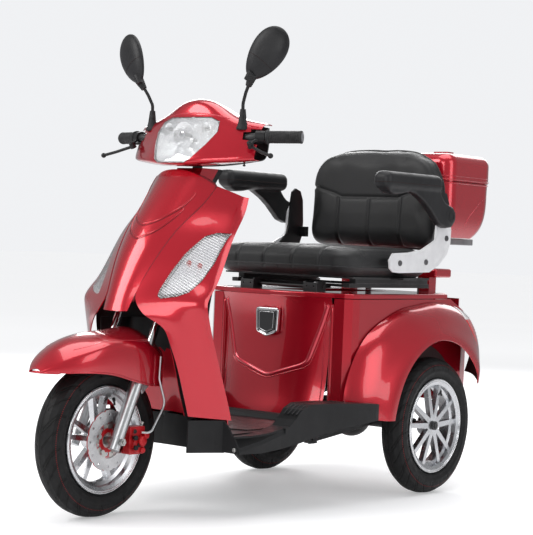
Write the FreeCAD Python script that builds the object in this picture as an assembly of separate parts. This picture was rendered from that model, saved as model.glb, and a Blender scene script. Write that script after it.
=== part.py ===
import FreeCAD, Part
import math, os

# Three-wheeled mobility scooter, built as an assembly of separate parts, in millimetres.
# +Z is up, the front of the scooter faces -Y and the rider's left is +X.
# The parts are laid out about the middle of the wheelbase. Each is then moved by ORIGIN_Y along Y,
# so the exported origin is on the ground at the middle of the overall length.

os.makedirs("parts", exist_ok=True)
V = FreeCAD.Vector
X, Y, Z = V(1, 0, 0), V(0, 1, 0), V(0, 0, 1)
SIDES = (-1, 1)                      # right, left

# ---------------------------------------------------------------- driving dimensions
ORIGIN_Y = -143.7
TYRE_R = 203.0                       # also the height of every axle
TYRE_HALF_W = 38.5
RIM_R = 140.0
BEAD_R = 127.0
FRONT_Y = -551.5                     # front axle
REAR_Y = 551.5                       # rear axle
TRACK_X = 304.0                      # rear wheel centre from the middle
RAKE = 24.5                          # steering axis from vertical, degrees
STEER_TOP = V(0, -155, 1010)
FORK_X = 72.0                        # fork leg from the middle
STANCHION_R = 11.0
SLIDER_R = 17.0
STEERER_R = 13
AXLE_R = 6.0
REAR_AXLE_R = 8.0
RUN = 0.06                           # radial running clearance
BAR_R = 11.0
PANEL = 3.0                          # moulded panel thickness
FLOOR_Z = 222.0                      # top of the flat floor
RAIL_X, RAIL_Z = 120, 195.0          # floor rails, middle of the tube
UPPER_RAIL_Z = 312                   # the same rails behind their bend
PIVOT_Y, PIVOT_Z = 222.0, 165.0      # rear suspension pivot
SEAT_PIVOT_Y, SEAT_PIVOT_Z = 222.0, 607.0
ARM_Y, ARM_Z = 622.0, 830.0          # armrest pivot
LID_Y, LID_Z = 784.0, 950.0          # trunk lid hinge
FRONT_HUB = V(0, FRONT_Y, TYRE_R)

rake_angle = math.radians(RAKE)
STEER_UP = V(0, math.sin(rake_angle), math.cos(rake_angle))
STEERING = FreeCAD.Placement(STEER_TOP, FreeCAD.Rotation(X, -RAKE))   # frame of the steering axis
drop = FRONT_HUB - STEER_TOP
LEG_Y = drop.y * math.cos(rake_angle) - drop.z * math.sin(rake_angle)   # leg in that frame
LEG_Z = drop.y * math.sin(rake_angle) + drop.z * math.cos(rake_angle)   # axle height in it


# ---------------------------------------------------------------- helpers: solids
def save(name, *shapes):
    solids = [solid for shape in shapes for solid in shape.Solids]
    if len(solids) > 1:
        out = Part.Compound([solid.copy() for solid in solids])
    else:
        out = solids[0].copy()
    out.translate(V(0, ORIGIN_Y, 0))
    out.exportStep("parts/%s.step" % name)


def mirrored(shape):
    return shape.mirror(V(0, 0, 0), X)


def both(shape):
    return [shape, mirrored(shape)]


def along(axis):
    """An edge test: straight between two ends, and parallel to axis."""
    def test(edge):
        if len(edge.Vertexes) != 2:
            return False
        d = edge.Vertexes[1].Point - edge.Vertexes[0].Point
        return d.Length > 1e-6 and abs(d.normalize().dot(axis)) > 0.999
    return test


def starts_at_z(z):
    return lambda edge: abs(edge.BoundBox.ZMin - z) < 1e-3


def fillet_some(shape, radius, test):
    edges = [e for e in shape.Edges if test(e)]
    # the kernel may refuse a fillet; the shape then stays sharp
    try:
        return shape.makeFillet(radius, edges)
    except Exception:
        return shape


def box(x0, x1, y0, y1, z0, z1, fillet=0.0, edges=None):
    block = Part.makeBox(x1 - x0, y1 - y0, z1 - z0, V(x0, y0, z0))
    if fillet:
        block = block.makeFillet(fillet, [e for e in block.Edges if edges is None or edges(e)])
    return block


def box_at(x, half, y0, y1, z0, z1):
    return box(x - half, x + half, y0, y1, z0, z1)


def rod(start, end, radius):
    d = end - start
    return Part.makeCylinder(radius, d.Length, start, d)


def x_rod(x0, x1, y, z, radius):
    return rod(V(x0, y, z), V(x1, y, z), radius)


def closed(points):
    return Part.makePolygon(points + [points[0]])


def prism(outline, plane, lo, hi):
    """An outline in plane yz, xz or xy, extruded along the third axis from lo to hi."""
    if plane == "yz":
        points, d = [V(lo, a, b) for a, b in outline], V(hi - lo, 0, 0)
    elif plane == "xz":
        points, d = [V(a, lo, b) for a, b in outline], V(0, hi - lo, 0)
    else:
        points, d = [V(a, b, lo) for a, b in outline], V(0, 0, hi - lo)
    return Part.Face(closed(points)).extrude(d)


def ring(profile, centre):
    """A profile of (x, radius) turned about the X axis through centre."""
    face = Part.Face(closed([V(centre.x + x, centre.y, centre.z + r) for x, r in profile]))
    return face.revolve(centre, X, 360)


def smooth_wire(points, bend):
    """A polyline with arcs of radius bend at its corners, smaller where a leg is short."""
    edges, last = [], points[0]
    for a, b, c in zip(points, points[1:], points[2:]):
        u, w = (a - b).normalize(), (c - b).normalize()
        angle = u.getAngle(w)
        trim = min(bend / math.tan(angle / 2), (a - b).Length * 0.45, (c - b).Length * 0.45)
        radius = trim * math.tan(angle / 2)
        start, end = b + u * trim, b + w * trim
        inward = (u + w).normalize()
        middle = b + inward * (radius / math.sin(angle / 2) - radius)
        if (start - last).Length > 1e-6:
            edges.append(Part.makeLine(last, start))
        edges.append(Part.Arc(start, middle, end).toShape())
        last = end
    edges.append(Part.makeLine(last, points[-1]))
    return Part.Wire(edges)


def pipe(points, radius, bend):
    section = Part.Wire([Part.makeCircle(radius, points[0], points[1] - points[0])])
    return smooth_wire(points, bend).makePipeShell([section], True, True)


# ---------------------------------------------------------------- helpers: outlines
def sym(points):
    """An outline given from the middle round to the middle, closed by its mirror image."""
    return points + [(-x, y) for x, y in reversed(points) if abs(x) > 1e-9]


def side_to_side(points):
    """A line given from the edge to the middle, run on to the other edge."""
    return [(-x, y) for x, y in points] + [(x, y) for x, y in reversed(points) if x > 0]


def scaled(outline, centre, scale_x, scale_z, shift_x=0):
    cx, cz = centre
    return [(cx + shift_x + (x - cx) * scale_x, cz + (z - cz) * scale_z) for x, z in outline]


# ---------------------------------------------------------------- helpers: moulded panels
def normals(grid):
    rows, cols = len(grid), len(grid[0])
    out = []
    for i in range(rows):
        row = []
        for j in range(cols):
            a = grid[min(i + 1, rows - 1)][j] - grid[max(i - 1, 0)][j]
            b = grid[i][min(j + 1, cols - 1)] - grid[i][max(j - 1, 0)]
            c = a.cross(b)
            if c.Length < 1e-9:
                c = V(0, 0, 1)
            row.append(c.normalize())
        out.append(row)
    return out


def refine_line(p, k):
    """Points on a smooth curve through p, k to each span."""
    n = len(p)
    d = [max((p[i + 1] - p[i]).Length, 1e-6) ** 0.6 for i in range(n - 1)]
    m = []                                               # tangents
    for i in range(n):
        if i == 0:
            m.append((p[1] - p[0]) * (1 / d[0]))
        elif i == n - 1:
            m.append((p[-1] - p[-2]) * (1 / d[-1]))
        else:
            a, b = d[i - 1], d[i]
            m.append(((p[i] - p[i - 1]) * (b / a) + (p[i + 1] - p[i]) * (a / b)) * (1 / (a + b)))
    out = []
    for i in range(n - 1):
        for j in range(k):
            t = j / float(k)
            # Hermite weights
            h00, h10 = 2 * t ** 3 - 3 * t ** 2 + 1, t ** 3 - 2 * t ** 2 + t
            h01, h11 = -2 * t ** 3 + 3 * t ** 2, t ** 3 - t ** 2
            out.append(p[i] * h00 + m[i] * (h10 * d[i])
                       + p[i + 1] * h01 + m[i + 1] * (h11 * d[i]))
    out.append(p[-1])
    return out


def refine(grid, k):
    rows = [refine_line(row, k) for row in grid]
    cols = [refine_line([row[j] for row in rows], k) for j in range(len(rows[0]))]
    return [[col[i] for col in cols] for i in range(len(cols[0]))]


def spline_surface(poles):
    n, m = len(poles), len(poles[0])
    surface = Part.BSplineSurface()
    surface.buildFromPolesMultsKnots(
        poles, [4] + [1] * (n - 4) + [4], [4] + [1] * (m - 4) + [4],
        list(range(n - 2)), list(range(m - 2)), False, False, 3, 3)
    return surface


def thick(grid, t):
    """A moulded panel: a smooth surface shaped by the grid, and a skin t away along the normals."""
    grid = refine(grid, 2)
    skin = [[p + n * t for p, n in zip(row, row_normals)]
            for row, row_normals in zip(grid, normals(grid))]
    a, b = spline_surface(grid), spline_surface(skin)
    faces = [a.toShape(), b.toShape()]
    a_u0, a_u1, a_v0, a_v1 = a.bounds()
    b_u0, b_u1, b_v0, b_v1 = b.bounds()
    borders = [(a.uIso(a_u0), b.uIso(b_u0)), (a.uIso(a_u1), b.uIso(b_u1)),
               (a.vIso(a_v0), b.vIso(b_v0)), (a.vIso(a_v1), b.vIso(b_v1))]
    for p, q in borders:
        faces.append(Part.makeRuledSurface(p.toShape(), q.toShape()))
    shell = Part.Shell(faces)
    shell.sewShape()
    # sewing may wrap the shell in another kind of shape
    solid = Part.Solid(shell if shell.ShapeType == "Shell" else shell.Shells[0])
    if solid.Volume < 0:
        solid.reverse()
    return solid


def full(half_rows):
    """Rows of (x, y, z) from the middle outwards become whole rows from right to left."""
    return [[V(-x, y, z) for x, y, z in reversed(row) if x > 1e-9]
            + [V(x, y, z) for x, y, z in row] for row in half_rows]


def across(stations):
    """Stations (x, [(y, z), ...]) from the middle to the left become rows from right to left."""
    right = [[V(-x, y, z) for y, z in points] for x, points in reversed(stations[1:])]
    return right + [[V(x, y, z) for y, z in points] for x, points in stations]


# ---------------------------------------------------------------- wheels
# (x, radius): outside from the left bead to the crown, and inside from the crown to the left bead
TYRE_OUT = [(27.5, BEAD_R), (27.5, 141), (34, 148), (TYRE_HALF_W, 163), (37.5, 178),
            (30, 191.5), (16, 200.5), (0, TYRE_R)]
TYRE_IN = [(0, 194), (15, 191.5), (26, 184), (30.5, 172), (30, 160), (24, 148), (19, 138),
           (18, BEAD_R)]
# (x, radius), outside from right to left and back along the inside
BARREL = [(-33, RIM_R), (-28.2, RIM_R), (-28.2, 126.7), (-13, 126.7), (-9, 118), (9, 118),
          (13, 126.7), (28.2, 126.7), (28.2, RIM_R), (33, RIM_R), (33, 134), (29, 122), (15, 121),
          (11, 112), (-11, 112), (-15, 121), (-29, 122), (-33, 134)]
# spoke ends at hub and rim: splay from the pair's middle in degrees, radius, width, x from, x to
FRONT_SPOKE = [(13, 36, 15, -8, 8), (11.5, 121, 12, -9.5, 9.5)]
REAR_SPOKE = [(17, 24, 17, 10, 26), (15, 123.5, 13, 8, 24)]
SPOKE_DRAFT = 0.999                  # shrink of the far corners towards the axle


def tyre(centre):
    outside = TYRE_OUT + [(-x, r) for x, r in reversed(TYRE_OUT[:-1])]
    inside = [(-x, r) for x, r in reversed(TYRE_IN)] + TYRE_IN[1:]
    return ring(outside + inside, centre)


def spoke(centre, pair_angle, sign, ends):
    sections = []
    for splay, radius, width, x0, x1 in ends:
        angle = math.radians(pair_angle + sign * splay)
        c, s = math.cos(angle), math.sin(angle)
        (py, pz), (qy, qz) = [(c * radius - s * w, s * radius + c * w)
                              for w in (-width / 2, width / 2)]
        sections.append(closed([
            centre + V(x0, py, pz), centre + V(x1, py * SPOKE_DRAFT, pz * SPOKE_DRAFT),
            centre + V(x1, qy * SPOKE_DRAFT, qz * SPOKE_DRAFT), centre + V(x0, qy, qz)]))
    return Part.makeLoft(sections, True, True)


def rim(centre, hub, spoke_ends, axle_r):
    """Five pairs of spokes between the hub and the barrel."""
    wheel = ring(BARREL, centre).fuse(hub)
    for k in range(5):
        for sign in (-1, 1):
            wheel = wheel.fuse(spoke(centre, 90 + 72 * k, sign, spoke_ends))
    return wheel.cut(Part.makeCylinder(axle_r + RUN, 120, centre + V(-60, 0, 0), X))


def hub_disc(x, radius, width, orbit=0, angle=0):
    """A disc about X, from x to x + width, set off from the front axle by orbit at an angle."""
    a = math.radians(angle)
    base = FRONT_HUB + V(x, orbit * math.cos(a), orbit * math.sin(a))
    return Part.makeCylinder(radius, width, base, X)


rear_left = V(TRACK_X, REAR_Y, TYRE_R)
rear_right = V(-TRACK_X, REAR_Y, TYRE_R)
save("front_tyre", tyre(FRONT_HUB))
front_hub = hub_disc(-30, 28, 60).fuse(hub_disc(-9, 40, 18))
save("front_rim", rim(FRONT_HUB, front_hub, FRONT_SPOKE, AXLE_R))
save("rear_tyre_left", tyre(rear_left))
save("rear_tyre_right", tyre(rear_right))
rear_hub = Part.makeCylinder(30, 40, rear_left + V(-14, 0, 0), X)
rear_rim = rim(rear_left, rear_hub, REAR_SPOKE, REAR_AXLE_R)
save("rear_rim_left", rear_rim)
save("rear_rim_right", mirrored(rear_rim))


def brake_disc():
    """A wavy rotor on a carrier with five bolts, and a collar against the wheel hub."""
    rotor = hub_disc(42, 79, 3.5)
    for k in range(12):
        rotor = rotor.cut(hub_disc(40, 9, 8, 85.5, 15 + 30 * k))
        rotor = rotor.cut(hub_disc(40, 3.6, 8, 68, 30 * k))
    rotor = rotor.cut(hub_disc(40, 47, 8))
    carrier_x, bolt_orbit = 37.9, 36
    carrier = hub_disc(carrier_x, 52, 4).cut(hub_disc(36, 20, 8))
    collar = hub_disc(30.2, 30, 7.5).cut(hub_disc(30, 14, 9))
    bolts = []
    for k in range(5):
        place = (bolt_orbit, 90 + 72 * k)
        carrier = carrier.cut(hub_disc(carrier_x - 2, 4.2, 9, *place))
        shank = hub_disc(carrier_x, 4.0, 3.9, *place)
        head = hub_disc(carrier_x + 4.2, 6.2, 4.5, *place)
        joint = hub_disc(carrier_x + 3.85, 4.0, 0.4, *place)
        bolts.append(shank.fuse(head).fuse(joint))
        carrier = carrier.cut(hub_disc(36, 6.0, 9, bolt_orbit, 54 + 72 * k))
    return [rotor, carrier, collar] + bolts


save("brake_disc", *brake_disc())


# ---------------------------------------------------------------- fork and steering
def placed(shape):
    """Moves a shape from the steering frame to the scooter."""
    shape = shape.copy()
    shape.Placement = STEERING.multiply(shape.Placement)
    return shape


def local_rod(x, y, z0, z1, radius):
    return Part.makeCylinder(radius, z1 - z0, V(x, y, z0), Z)


def column_rod(z0, z1, radius):
    return local_rod(0, 0, z0, z1, radius)


def leg_rod(z0, z1, radius, side=1):
    """A rod on a fork leg, in the steering frame, with heights from the axle."""
    return local_rod(side * FORK_X, LEG_Y, LEG_Z + z0, LEG_Z + z1, radius)


save("fork_stanchions", *both(placed(leg_rod(75, 446, STANCHION_R))))


def fork_sliders():
    bore = leg_rod(38, 250, STANCHION_R + RUN)
    slider = leg_rod(6, 235, SLIDER_R).fuse(leg_rod(-24, 8, 15))
    slider = slider.fuse(leg_rod(205, 238, 18.0))
    slider = placed(slider.cut(bore))
    slider = slider.cut(x_rod(40, 100, FRONT_Y, TYRE_R, AXLE_R + 0.05))
    lug = prism([(-545, 232), (-512, 222), (-512, 246), (-540, 252)], "yz", 58, 68)
    lug = lug.cut(x_rod(50, 75, -522, 234, 3.2))
    tab = prism([(-478, 352), (-436, 372), (-432, 348), (-462, 322)], "yz", 70, 74)
    tab = tab.cut(x_rod(60, 80, -448, 350, 4.0))
    left = slider.fuse(lug).fuse(tab).cut(placed(bore))
    right = mirrored(slider.fuse(tab).cut(placed(bore)))
    return left, right


save("fork_sliders", *fork_sliders())


def front_axle():
    """The axle with a spacer and a hexagonal end on each side."""
    axle = x_rod(-94, 94, FRONT_Y, TYRE_R, AXLE_R)
    for side in SIDES:
        axle = axle.fuse(x_rod(side * 30.3, side * 54.8, FRONT_Y, TYRE_R, 10))
        corners = [math.radians(60 * k) for k in range(7)]
        hexagon = Part.makePolygon([
            V(side * 89.2, FRONT_Y + 10 * math.cos(a), TYRE_R + 10 * math.sin(a))
            for a in corners])
        axle = axle.fuse(Part.Face(hexagon).extrude(V(side * 8, 0, 0)))
    return axle


save("front_axle", front_axle())


def steering_stem():
    """The lower fork crown on the steerer."""
    crown = box(-90, 90, LEG_Y - 18, 20, -484, -458, 6, along(Z))
    for side in SIDES:
        crown = crown.cut(local_rod(side * FORK_X, LEG_Y, -500, -440, STANCHION_R))
    return placed(crown.fuse(column_rod(-486, -52, STEERER_R)))


save("steering_stem", steering_stem())

# handlebar with its clamp, swept back to the grips
GRIP_START = V(229, -188, 1010)                  # left grip, inner and outer ends
GRIP_END = V(321, -149.67, 1011.92)
GRIP_DIR = (GRIP_END - GRIP_START).normalize()
BEND_START, BEND_END = V(62, -166, 985), V(140, -196, 1001)
bar_half = [BEND_START, BEND_END, GRIP_START - GRIP_DIR * 37, GRIP_END]
handlebar = pipe([V(-p.x, p.y, p.z) for p in reversed(bar_half)] + bar_half, BAR_R, 60)
bar_clamp = placed(column_rod(-78, -8, 20).cut(column_rod(-90, -50, STEERER_R)))
handlebar = handlebar.fuse(bar_clamp)
save("handlebar", handlebar)


def grip(gap, overrun):
    """The left grip; its bore has a radial gap and runs past the end of the bar by overrun."""
    start, end, bore_r = GRIP_START + GRIP_DIR * 4, GRIP_END + GRIP_DIR * 3, BAR_R + gap
    bore_start = start - GRIP_DIR
    sleeve = rod(start, end, 16.5).cut(rod(bore_start, GRIP_END + GRIP_DIR * overrun, bore_r))
    flange = rod(start, start + GRIP_DIR * 7, 19.5)
    return sleeve.fuse(flange.cut(rod(bore_start, start + GRIP_DIR * 8, bore_r)))


save("grip_left", grip(0.02, 0.02))
save("throttle_grip", mirrored(grip(RUN, 0.3)))

# lever perches, clamped on the bar inboard of the grips
PERCH_START = GRIP_START - GRIP_DIR * 24
PERCH_END = GRIP_START + GRIP_DIR * 2
PERCH_MIDDLE = (PERCH_START + PERCH_END) * 0.5
LEVER_PIVOT = V(212, -226, 983)
LEVER_AXIS = V(0.117, -0.496, 0.860).normalize()
LEVER_PIN_R = 3.0
button_dir = V(-0.2, 0.97, 0.1).normalize()
BUTTON_DIR = (button_dir - GRIP_DIR * button_dir.dot(GRIP_DIR)).normalize()


def on_lever_axis(distance):
    return LEVER_PIVOT + LEVER_AXIS * distance


def lever_perch():
    bore_start, bore_end = PERCH_START - GRIP_DIR * 5, PERCH_END + GRIP_DIR * 5
    perch = rod(PERCH_START, PERCH_END, 17).cut(rod(bore_start, bore_end, BAR_R + 0.1))
    perch = perch.cut(handlebar)
    arm = rod(on_lever_axis(5.0), on_lever_axis(13.0), 9)
    link = rod(on_lever_axis(9.0), PERCH_START + GRIP_DIR * 13, 4.0)
    arm = arm.fuse(link.cut(rod(on_lever_axis(-5), on_lever_axis(30), 5)))
    arm = arm.cut(rod(bore_start, bore_end, 16.5))
    return perch.fuse(arm).cut(rod(on_lever_axis(-20), on_lever_axis(40), LEVER_PIN_R + RUN))


def brake_lever():
    """The left lever with a ball end and its pivot pin."""
    path = [LEVER_PIVOT + V(*d) for d in ((0, 0, 0), (18, -7, -6), (50, -17, -17), (88, -26, -27))]
    lever = pipe(path, 4.2, 60)
    lever = lever.fuse(Part.makeSphere(7.2, path[-1]))
    lever = lever.fuse(rod(on_lever_axis(-4.4), on_lever_axis(4.4), 8.5))
    return lever.fuse(rod(LEVER_PIVOT, on_lever_axis(14.5), LEVER_PIN_R))


perch = lever_perch()
button_hole = rod(PERCH_MIDDLE + BUTTON_DIR * 14.2, PERCH_MIDDLE + BUTTON_DIR * 30, 5.15)
save("lever_perches", perch.cut(button_hole), mirrored(perch))
lever = brake_lever()
save("brake_lever_left", lever)
save("brake_lever_right", mirrored(lever))
save("horn_button", rod(PERCH_MIDDLE + BUTTON_DIR * 16.4, PERCH_MIDDLE + BUTTON_DIR * 21.0, 5.0))

# ---------------------------------------------------------------- mirrors
STALK_X, STALK_Y = 163, -205
STALK_R = 4.5
STALK_TOP = V(190, -217, 1150)
MIRROR_CENTRE = V(240, -212, 1230)
EGG_TAPER = 0.20                     # widening at the top, narrowing at the bottom
# (y, scale) from the glass side to the front of the mirror shell
MIRROR_SECTIONS = [(3.0, 1.0), (-3.0, 0.99), (-8.0, 0.9), (-12.5, 0.72), (-15.5, 0.42),
                   (-16.5, 0.16)]


def egg(half_w, half_h, y):
    """A closed egg outline in an xz plane."""
    points = []
    for k in range(24):
        a = math.radians(15 * k)
        z = half_h * math.sin(a)
        points.append(V(half_w * math.cos(a) * (1 + EGG_TAPER * z / half_h), y, z))
    curve = Part.BSplineCurve()
    curve.interpolate(points, True)
    return Part.Wire([curve.toShape()])


def mirror_head():
    """The left mirror's shell and glass, modelled facing +Y and then turned into place."""
    shell = Part.makeLoft([egg(49 * k, 79 * k, y) for y, k in MIRROR_SECTIONS], True, False)
    recess = Part.Face(egg(45, 74.5, 0.2))
    shell = shell.cut(recess.extrude(V(0, 6, 0)))
    neck = Part.makeCone(9, 12.5, 26, V(0, -5, -88), Z).cut(recess.extrude(V(0, 20, 0)))
    shell = shell.fuse(neck)
    glass = Part.Face(egg(44.7, 74.2, 0.2)).extrude(V(0, 2.4, 0))
    turn = FreeCAD.Rotation(Z, 15).multiply(FreeCAD.Rotation(Y, 35.5))
    placement = FreeCAD.Placement(MIRROR_CENTRE, turn)
    for shape in (shell, glass):
        shape.Placement = placement.multiply(shape.Placement)
    socket_dir = V(14, -5, 22).normalize()
    socket = rod(STALK_TOP - socket_dir * 40, STALK_TOP + socket_dir * 0.5, STALK_R + RUN + 0.02)
    return shell.cut(socket), glass


stalk = pipe([V(STALK_X, STALK_Y, 1062), V(163, -206, 1100), V(176, -212, 1128), STALK_TOP],
             STALK_R, 25)
stalk = stalk.fuse(Part.makeCone(10.5, 7.5, 26, V(STALK_X, STALK_Y, 1058), Z))
save("mirror_stalks", *both(stalk))
mirror_shell, mirror_glass = mirror_head()
save("mirror_left", mirror_shell, mirror_glass)
save("mirror_right", mirrored(mirror_shell), mirrored(mirror_glass))

# ---------------------------------------------------------------- headlight housing
# x, then (y, z) from the bottom rear round the front to the top rear
HOUSING = [
    (0, [(-215, 929), (-268, 926), (-313, 930), (-300, 962), (-270, 1010), (-240, 1052),
         (-226, 1072), (-216, 1106), (-190, 1117), (-150, 1108), (-122, 1096)]),
    (50, [(-215, 930), (-266, 927), (-309, 932), (-296, 962), (-267, 1008), (-238, 1050),
          (-225, 1070), (-213, 1098), (-188, 1108), (-150, 1100), (-122, 1089)]),
    (95, [(-212, 933), (-256, 931), (-292, 937), (-281, 964), (-257, 1004), (-233, 1040),
          (-222, 1056), (-208, 1074), (-184, 1082), (-150, 1078), (-122, 1070)]),
    (140, [(-206, 937), (-240, 936), (-268, 941), (-259, 964), (-242, 996), (-226, 1026),
           (-217, 1042), (-203, 1056), (-180, 1062), (-150, 1060), (-124, 1055)]),
    (185, [(-198, 942), (-222, 941), (-240, 946), (-234, 965), (-222, 992), (-209, 1020),
           (-202, 1034), (-190, 1046), (-172, 1052), (-150, 1051), (-130, 1048)]),
    (214, [(-190, 946), (-204, 946), (-213, 950), (-209, 968), (-201, 990), (-192, 1014),
           (-187, 1028), (-178, 1040), (-166, 1046), (-150, 1047), (-140, 1045)]),
]
# lens outline, (x, z)
LENS = [(-70, 1062), (-99, 1050), (-107, 1022), (-90, 985), (-62, 943), (-46, 934),
        (46, 934), (62, 943), (90, 985), (107, 1022), (99, 1050), (70, 1062)]
# x, then (y, z) from the bottom front round the rear to the top
REAR_COVER = [
    (0, [(-196, 929), (-140, 934), (-106, 950), (-92, 985), (-88, 1025), (-96, 1066),
         (-116, 1090)]),
    (60, [(-196, 930), (-140, 935), (-108, 951), (-95, 986), (-92, 1024), (-99, 1058),
          (-116, 1081)]),
    (110, [(-194, 933), (-146, 938), (-118, 953), (-106, 986), (-103, 1018), (-108, 1044),
           (-118, 1062)]),
    (160, [(-190, 939), (-154, 943), (-132, 956), (-122, 984), (-119, 1010), (-122, 1032),
           (-128, 1046)]),
    (205, [(-184, 945), (-162, 948), (-148, 958), (-140, 980), (-138, 1004), (-138, 1024),
           (-140, 1038)]),
]
LAMP_Z = 1000
# room for the left grip, bar and lever, and for the steering column
grip_clear = rod(GRIP_START - GRIP_DIR * 40, GRIP_END, 22).fuse(
    rod(GRIP_START - GRIP_DIR * 60, GRIP_END, 13.5)).fuse(
    rod(on_lever_axis(-9), on_lever_axis(18), 14)).fuse(
    rod(LEVER_PIVOT, LEVER_PIVOT + V(44, -15, -14), 12))
column_clear = placed(column_rod(-130, -24, 23))


def headlight_housing():
    """The front cowl, and the lens cut from the same surface."""
    cowl = thick(across(HOUSING), -2.0)
    lens = cowl.common(prism(LENS, "xz", -340, -160))
    cowl = cowl.cut(prism(scaled(LENS, (0, LAMP_Z), 1.012, 1.012), "xz", -340, -160))
    for side in SIDES:
        cowl = cowl.cut(Part.makeCylinder(13, 40, V(side * STALK_X, STALK_Y, 1035), Z))
    return cowl.cut(grip_clear).cut(mirrored(grip_clear)).cut(column_clear), lens


def headlight_reflector():
    forward = V(0, -1, 0)
    bowl = Part.makeCone(20, 40, 36, V(0, -200, LAMP_Z), forward)
    bowl = bowl.cut(Part.makeCone(17.5, 38, 36, V(0, -202, LAMP_Z), forward))
    bowl = bowl.cut(Part.makeCylinder(8.3, 60, V(0, -180, LAMP_Z), forward))
    return bowl, Part.makeCylinder(8, 30, V(0, -194, LAMP_Z), forward)


def handlebar_rear_cover():
    cover = thick(across(REAR_COVER), PANEL)
    for side in SIDES:
        ends = [V(side * p.x, p.y, p.z) for p in (BEND_START, BEND_END)]
        cover = cover.cut(rod(*ends, BAR_R + 2))
    cover = cover.cut(column_clear).cut(grip_clear).cut(mirrored(grip_clear)).cut(handlebar)
    cover = cover.cut(box(-48, 48, -112, -60, 1012, 1062))
    dash = box(-46, 46, -108, -96, 1014, 1060, 3, along(Y))
    return cover, dash


def column_cover():
    """A tapering six-sided sleeve round the steering axis, below the housing."""
    plan = [(-46, -30), (46, -30), (52, 30), (38, 68), (-38, 68), (-52, 30)]

    def section(z, scale, shift_y):
        axis_y = STEER_TOP.y + (z - STEER_TOP.z) * math.tan(rake_angle)
        return closed([V(x * scale, axis_y + (y + shift_y) * scale, z) for x, y in plan])
    sleeve = Part.makeLoft([section(924, 1.0, 0), section(868, 0.86, -4)], True, True)
    return sleeve.cut(Part.makeLoft([section(925, 0.93, 0), section(867, 0.80, -4)], True, True))


cowl, headlight_lens = headlight_housing()
save("headlight_housing", cowl)
save("headlight_lens", headlight_lens)
save("headlight_reflector", *headlight_reflector())
save("handlebar_rear_cover", *handlebar_rear_cover())
save("column_cover", column_cover())

# ---------------------------------------------------------------- front fender and caliper
# y, half width, edge z, shoulder z, top z
FENDER = [
    (-781, 20, 382, 388, 394), (-765, 36, 383, 398, 409), (-729, 62, 383, 414, 438),
    (-677, 82, 383, 432, 465), (-622, 90, 380, 449, 478), (-578, 92, 373, 456, 483),
    (-532, 92.5, 361, 458, 486), (-490, 92.5, 351, 455, 492), (-455, 92, 344, 449, 494),
    (-425, 91, 341, 441, 482), (-402, 88, 341, 431, 462),
]


def front_fender():
    """Domed sections over the wheel, cleared round the fork legs."""
    rows = []
    for y, w, edge, shoulder, top in FENDER:
        rise = top - shoulder
        rows.append([(0, y, top), (w * 0.35, y, top - rise * 0.16), (w * 0.68, y, top - rise * 0.5),
                     (w * 0.93, y, shoulder + rise * 0.02),
                     (w, y, shoulder - (shoulder - edge) * 0.3), (w, y, edge)])
    fender = thick(full(rows), 2.0)
    for side in SIDES:
        fender = fender.cut(placed(leg_rod(100, 400, 13, side)))
        fender = fender.cut(placed(leg_rod(100, 241, 19, side)))
    return fender


def brake_caliper():
    """The caliper on the left leg, straddling the disc, and its hose."""
    body = box(50, 78, -509, -452, 166, 238, 5, along(X))
    body = body.fuse(box(31, 52, -500, -452, 170, 226, 4, along(X)))
    body = body.fuse(Part.makeCylinder(20, 8, V(76, -480, 190), X))
    body = body.fuse(Part.makeCylinder(7, 8, V(74, -494, 226), X))
    body = body.cut(hub_disc(39, 84, 9.5))
    leg_foot = V(FORK_X, FRONT_Y, TYRE_R) - STEER_UP * 60
    body = body.cut(Part.makeCylinder(SLIDER_R + 2.5, 200, leg_foot, STEER_UP))
    ear = [(-511, 222), (-500, 218), (-500, 238), (-511, 246)]
    body = body.fuse(prism(ear, "yz", 58, 68)).cut(hub_disc(28, 53.5, 30))
    hose = pipe([V(84, -470, 222), V(100, -452, 222), V(103, -404, 296), V(100, -428, 362),
                 V(99, -424, 420)], 3.0, 30)
    return body, hose.cut(body)


save("front_fender", front_fender())
save("brake_caliper", *brake_caliper())

# ---------------------------------------------------------------- front bodywork
# Rows run downwards, and each row holds (x, y, z) outwards.
APRON = [
    [(0, -283, 916), (60, -275, 907), (118, -245, 873),
     (140, -227, 863), (158, -212, 855), (172, -201, 848)],
    [(0, -352, 830), (55, -338, 827), (108, -288, 820),
     (133, -264, 815), (156, -240, 811), (176, -218, 806)],
    [(0, -402, 762), (50, -391, 760), (90, -362, 757),
     (125, -336, 752), (158, -307, 747), (187, -276, 742)],
    [(0, -444, 692), (42, -437, 690), (74, -417, 688),
     (115, -389, 684), (158, -352, 680), (195, -316, 676)],
    [(0, -475, 624), (34, -470, 622), (58, -457, 621),
     (105, -428, 618), (157, -392, 615), (202, -357, 611)],
    [(0, -494, 574), (28, -490, 573), (49, -480, 572),
     (100, -456, 571), (157, -428, 570), (208, -400, 567)],
]
CENTRE_END = [(0, -507, 534), (26, -504, 534), (44, -497, 535)]
LEG = [
    [(82, -478, 528), (124, -455, 530), (168, -425, 532), (210, -394, 534)],
    [(126, -449, 500), (150, -437, 500), (182, -411, 500), (211, -384, 499)],
    [(143, -440, 455), (163, -422, 454), (189, -396, 452), (214, -368, 450)],
    [(155, -424, 400), (174, -402, 398), (197, -374, 396), (217, -348, 394)],
    [(163, -407, 335), (181, -380, 333), (202, -350, 331), (220, -323, 329)],
    [(170, -390, 268), (188, -360, 265), (207, -328, 262), (223, -299, 259)],
]
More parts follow.
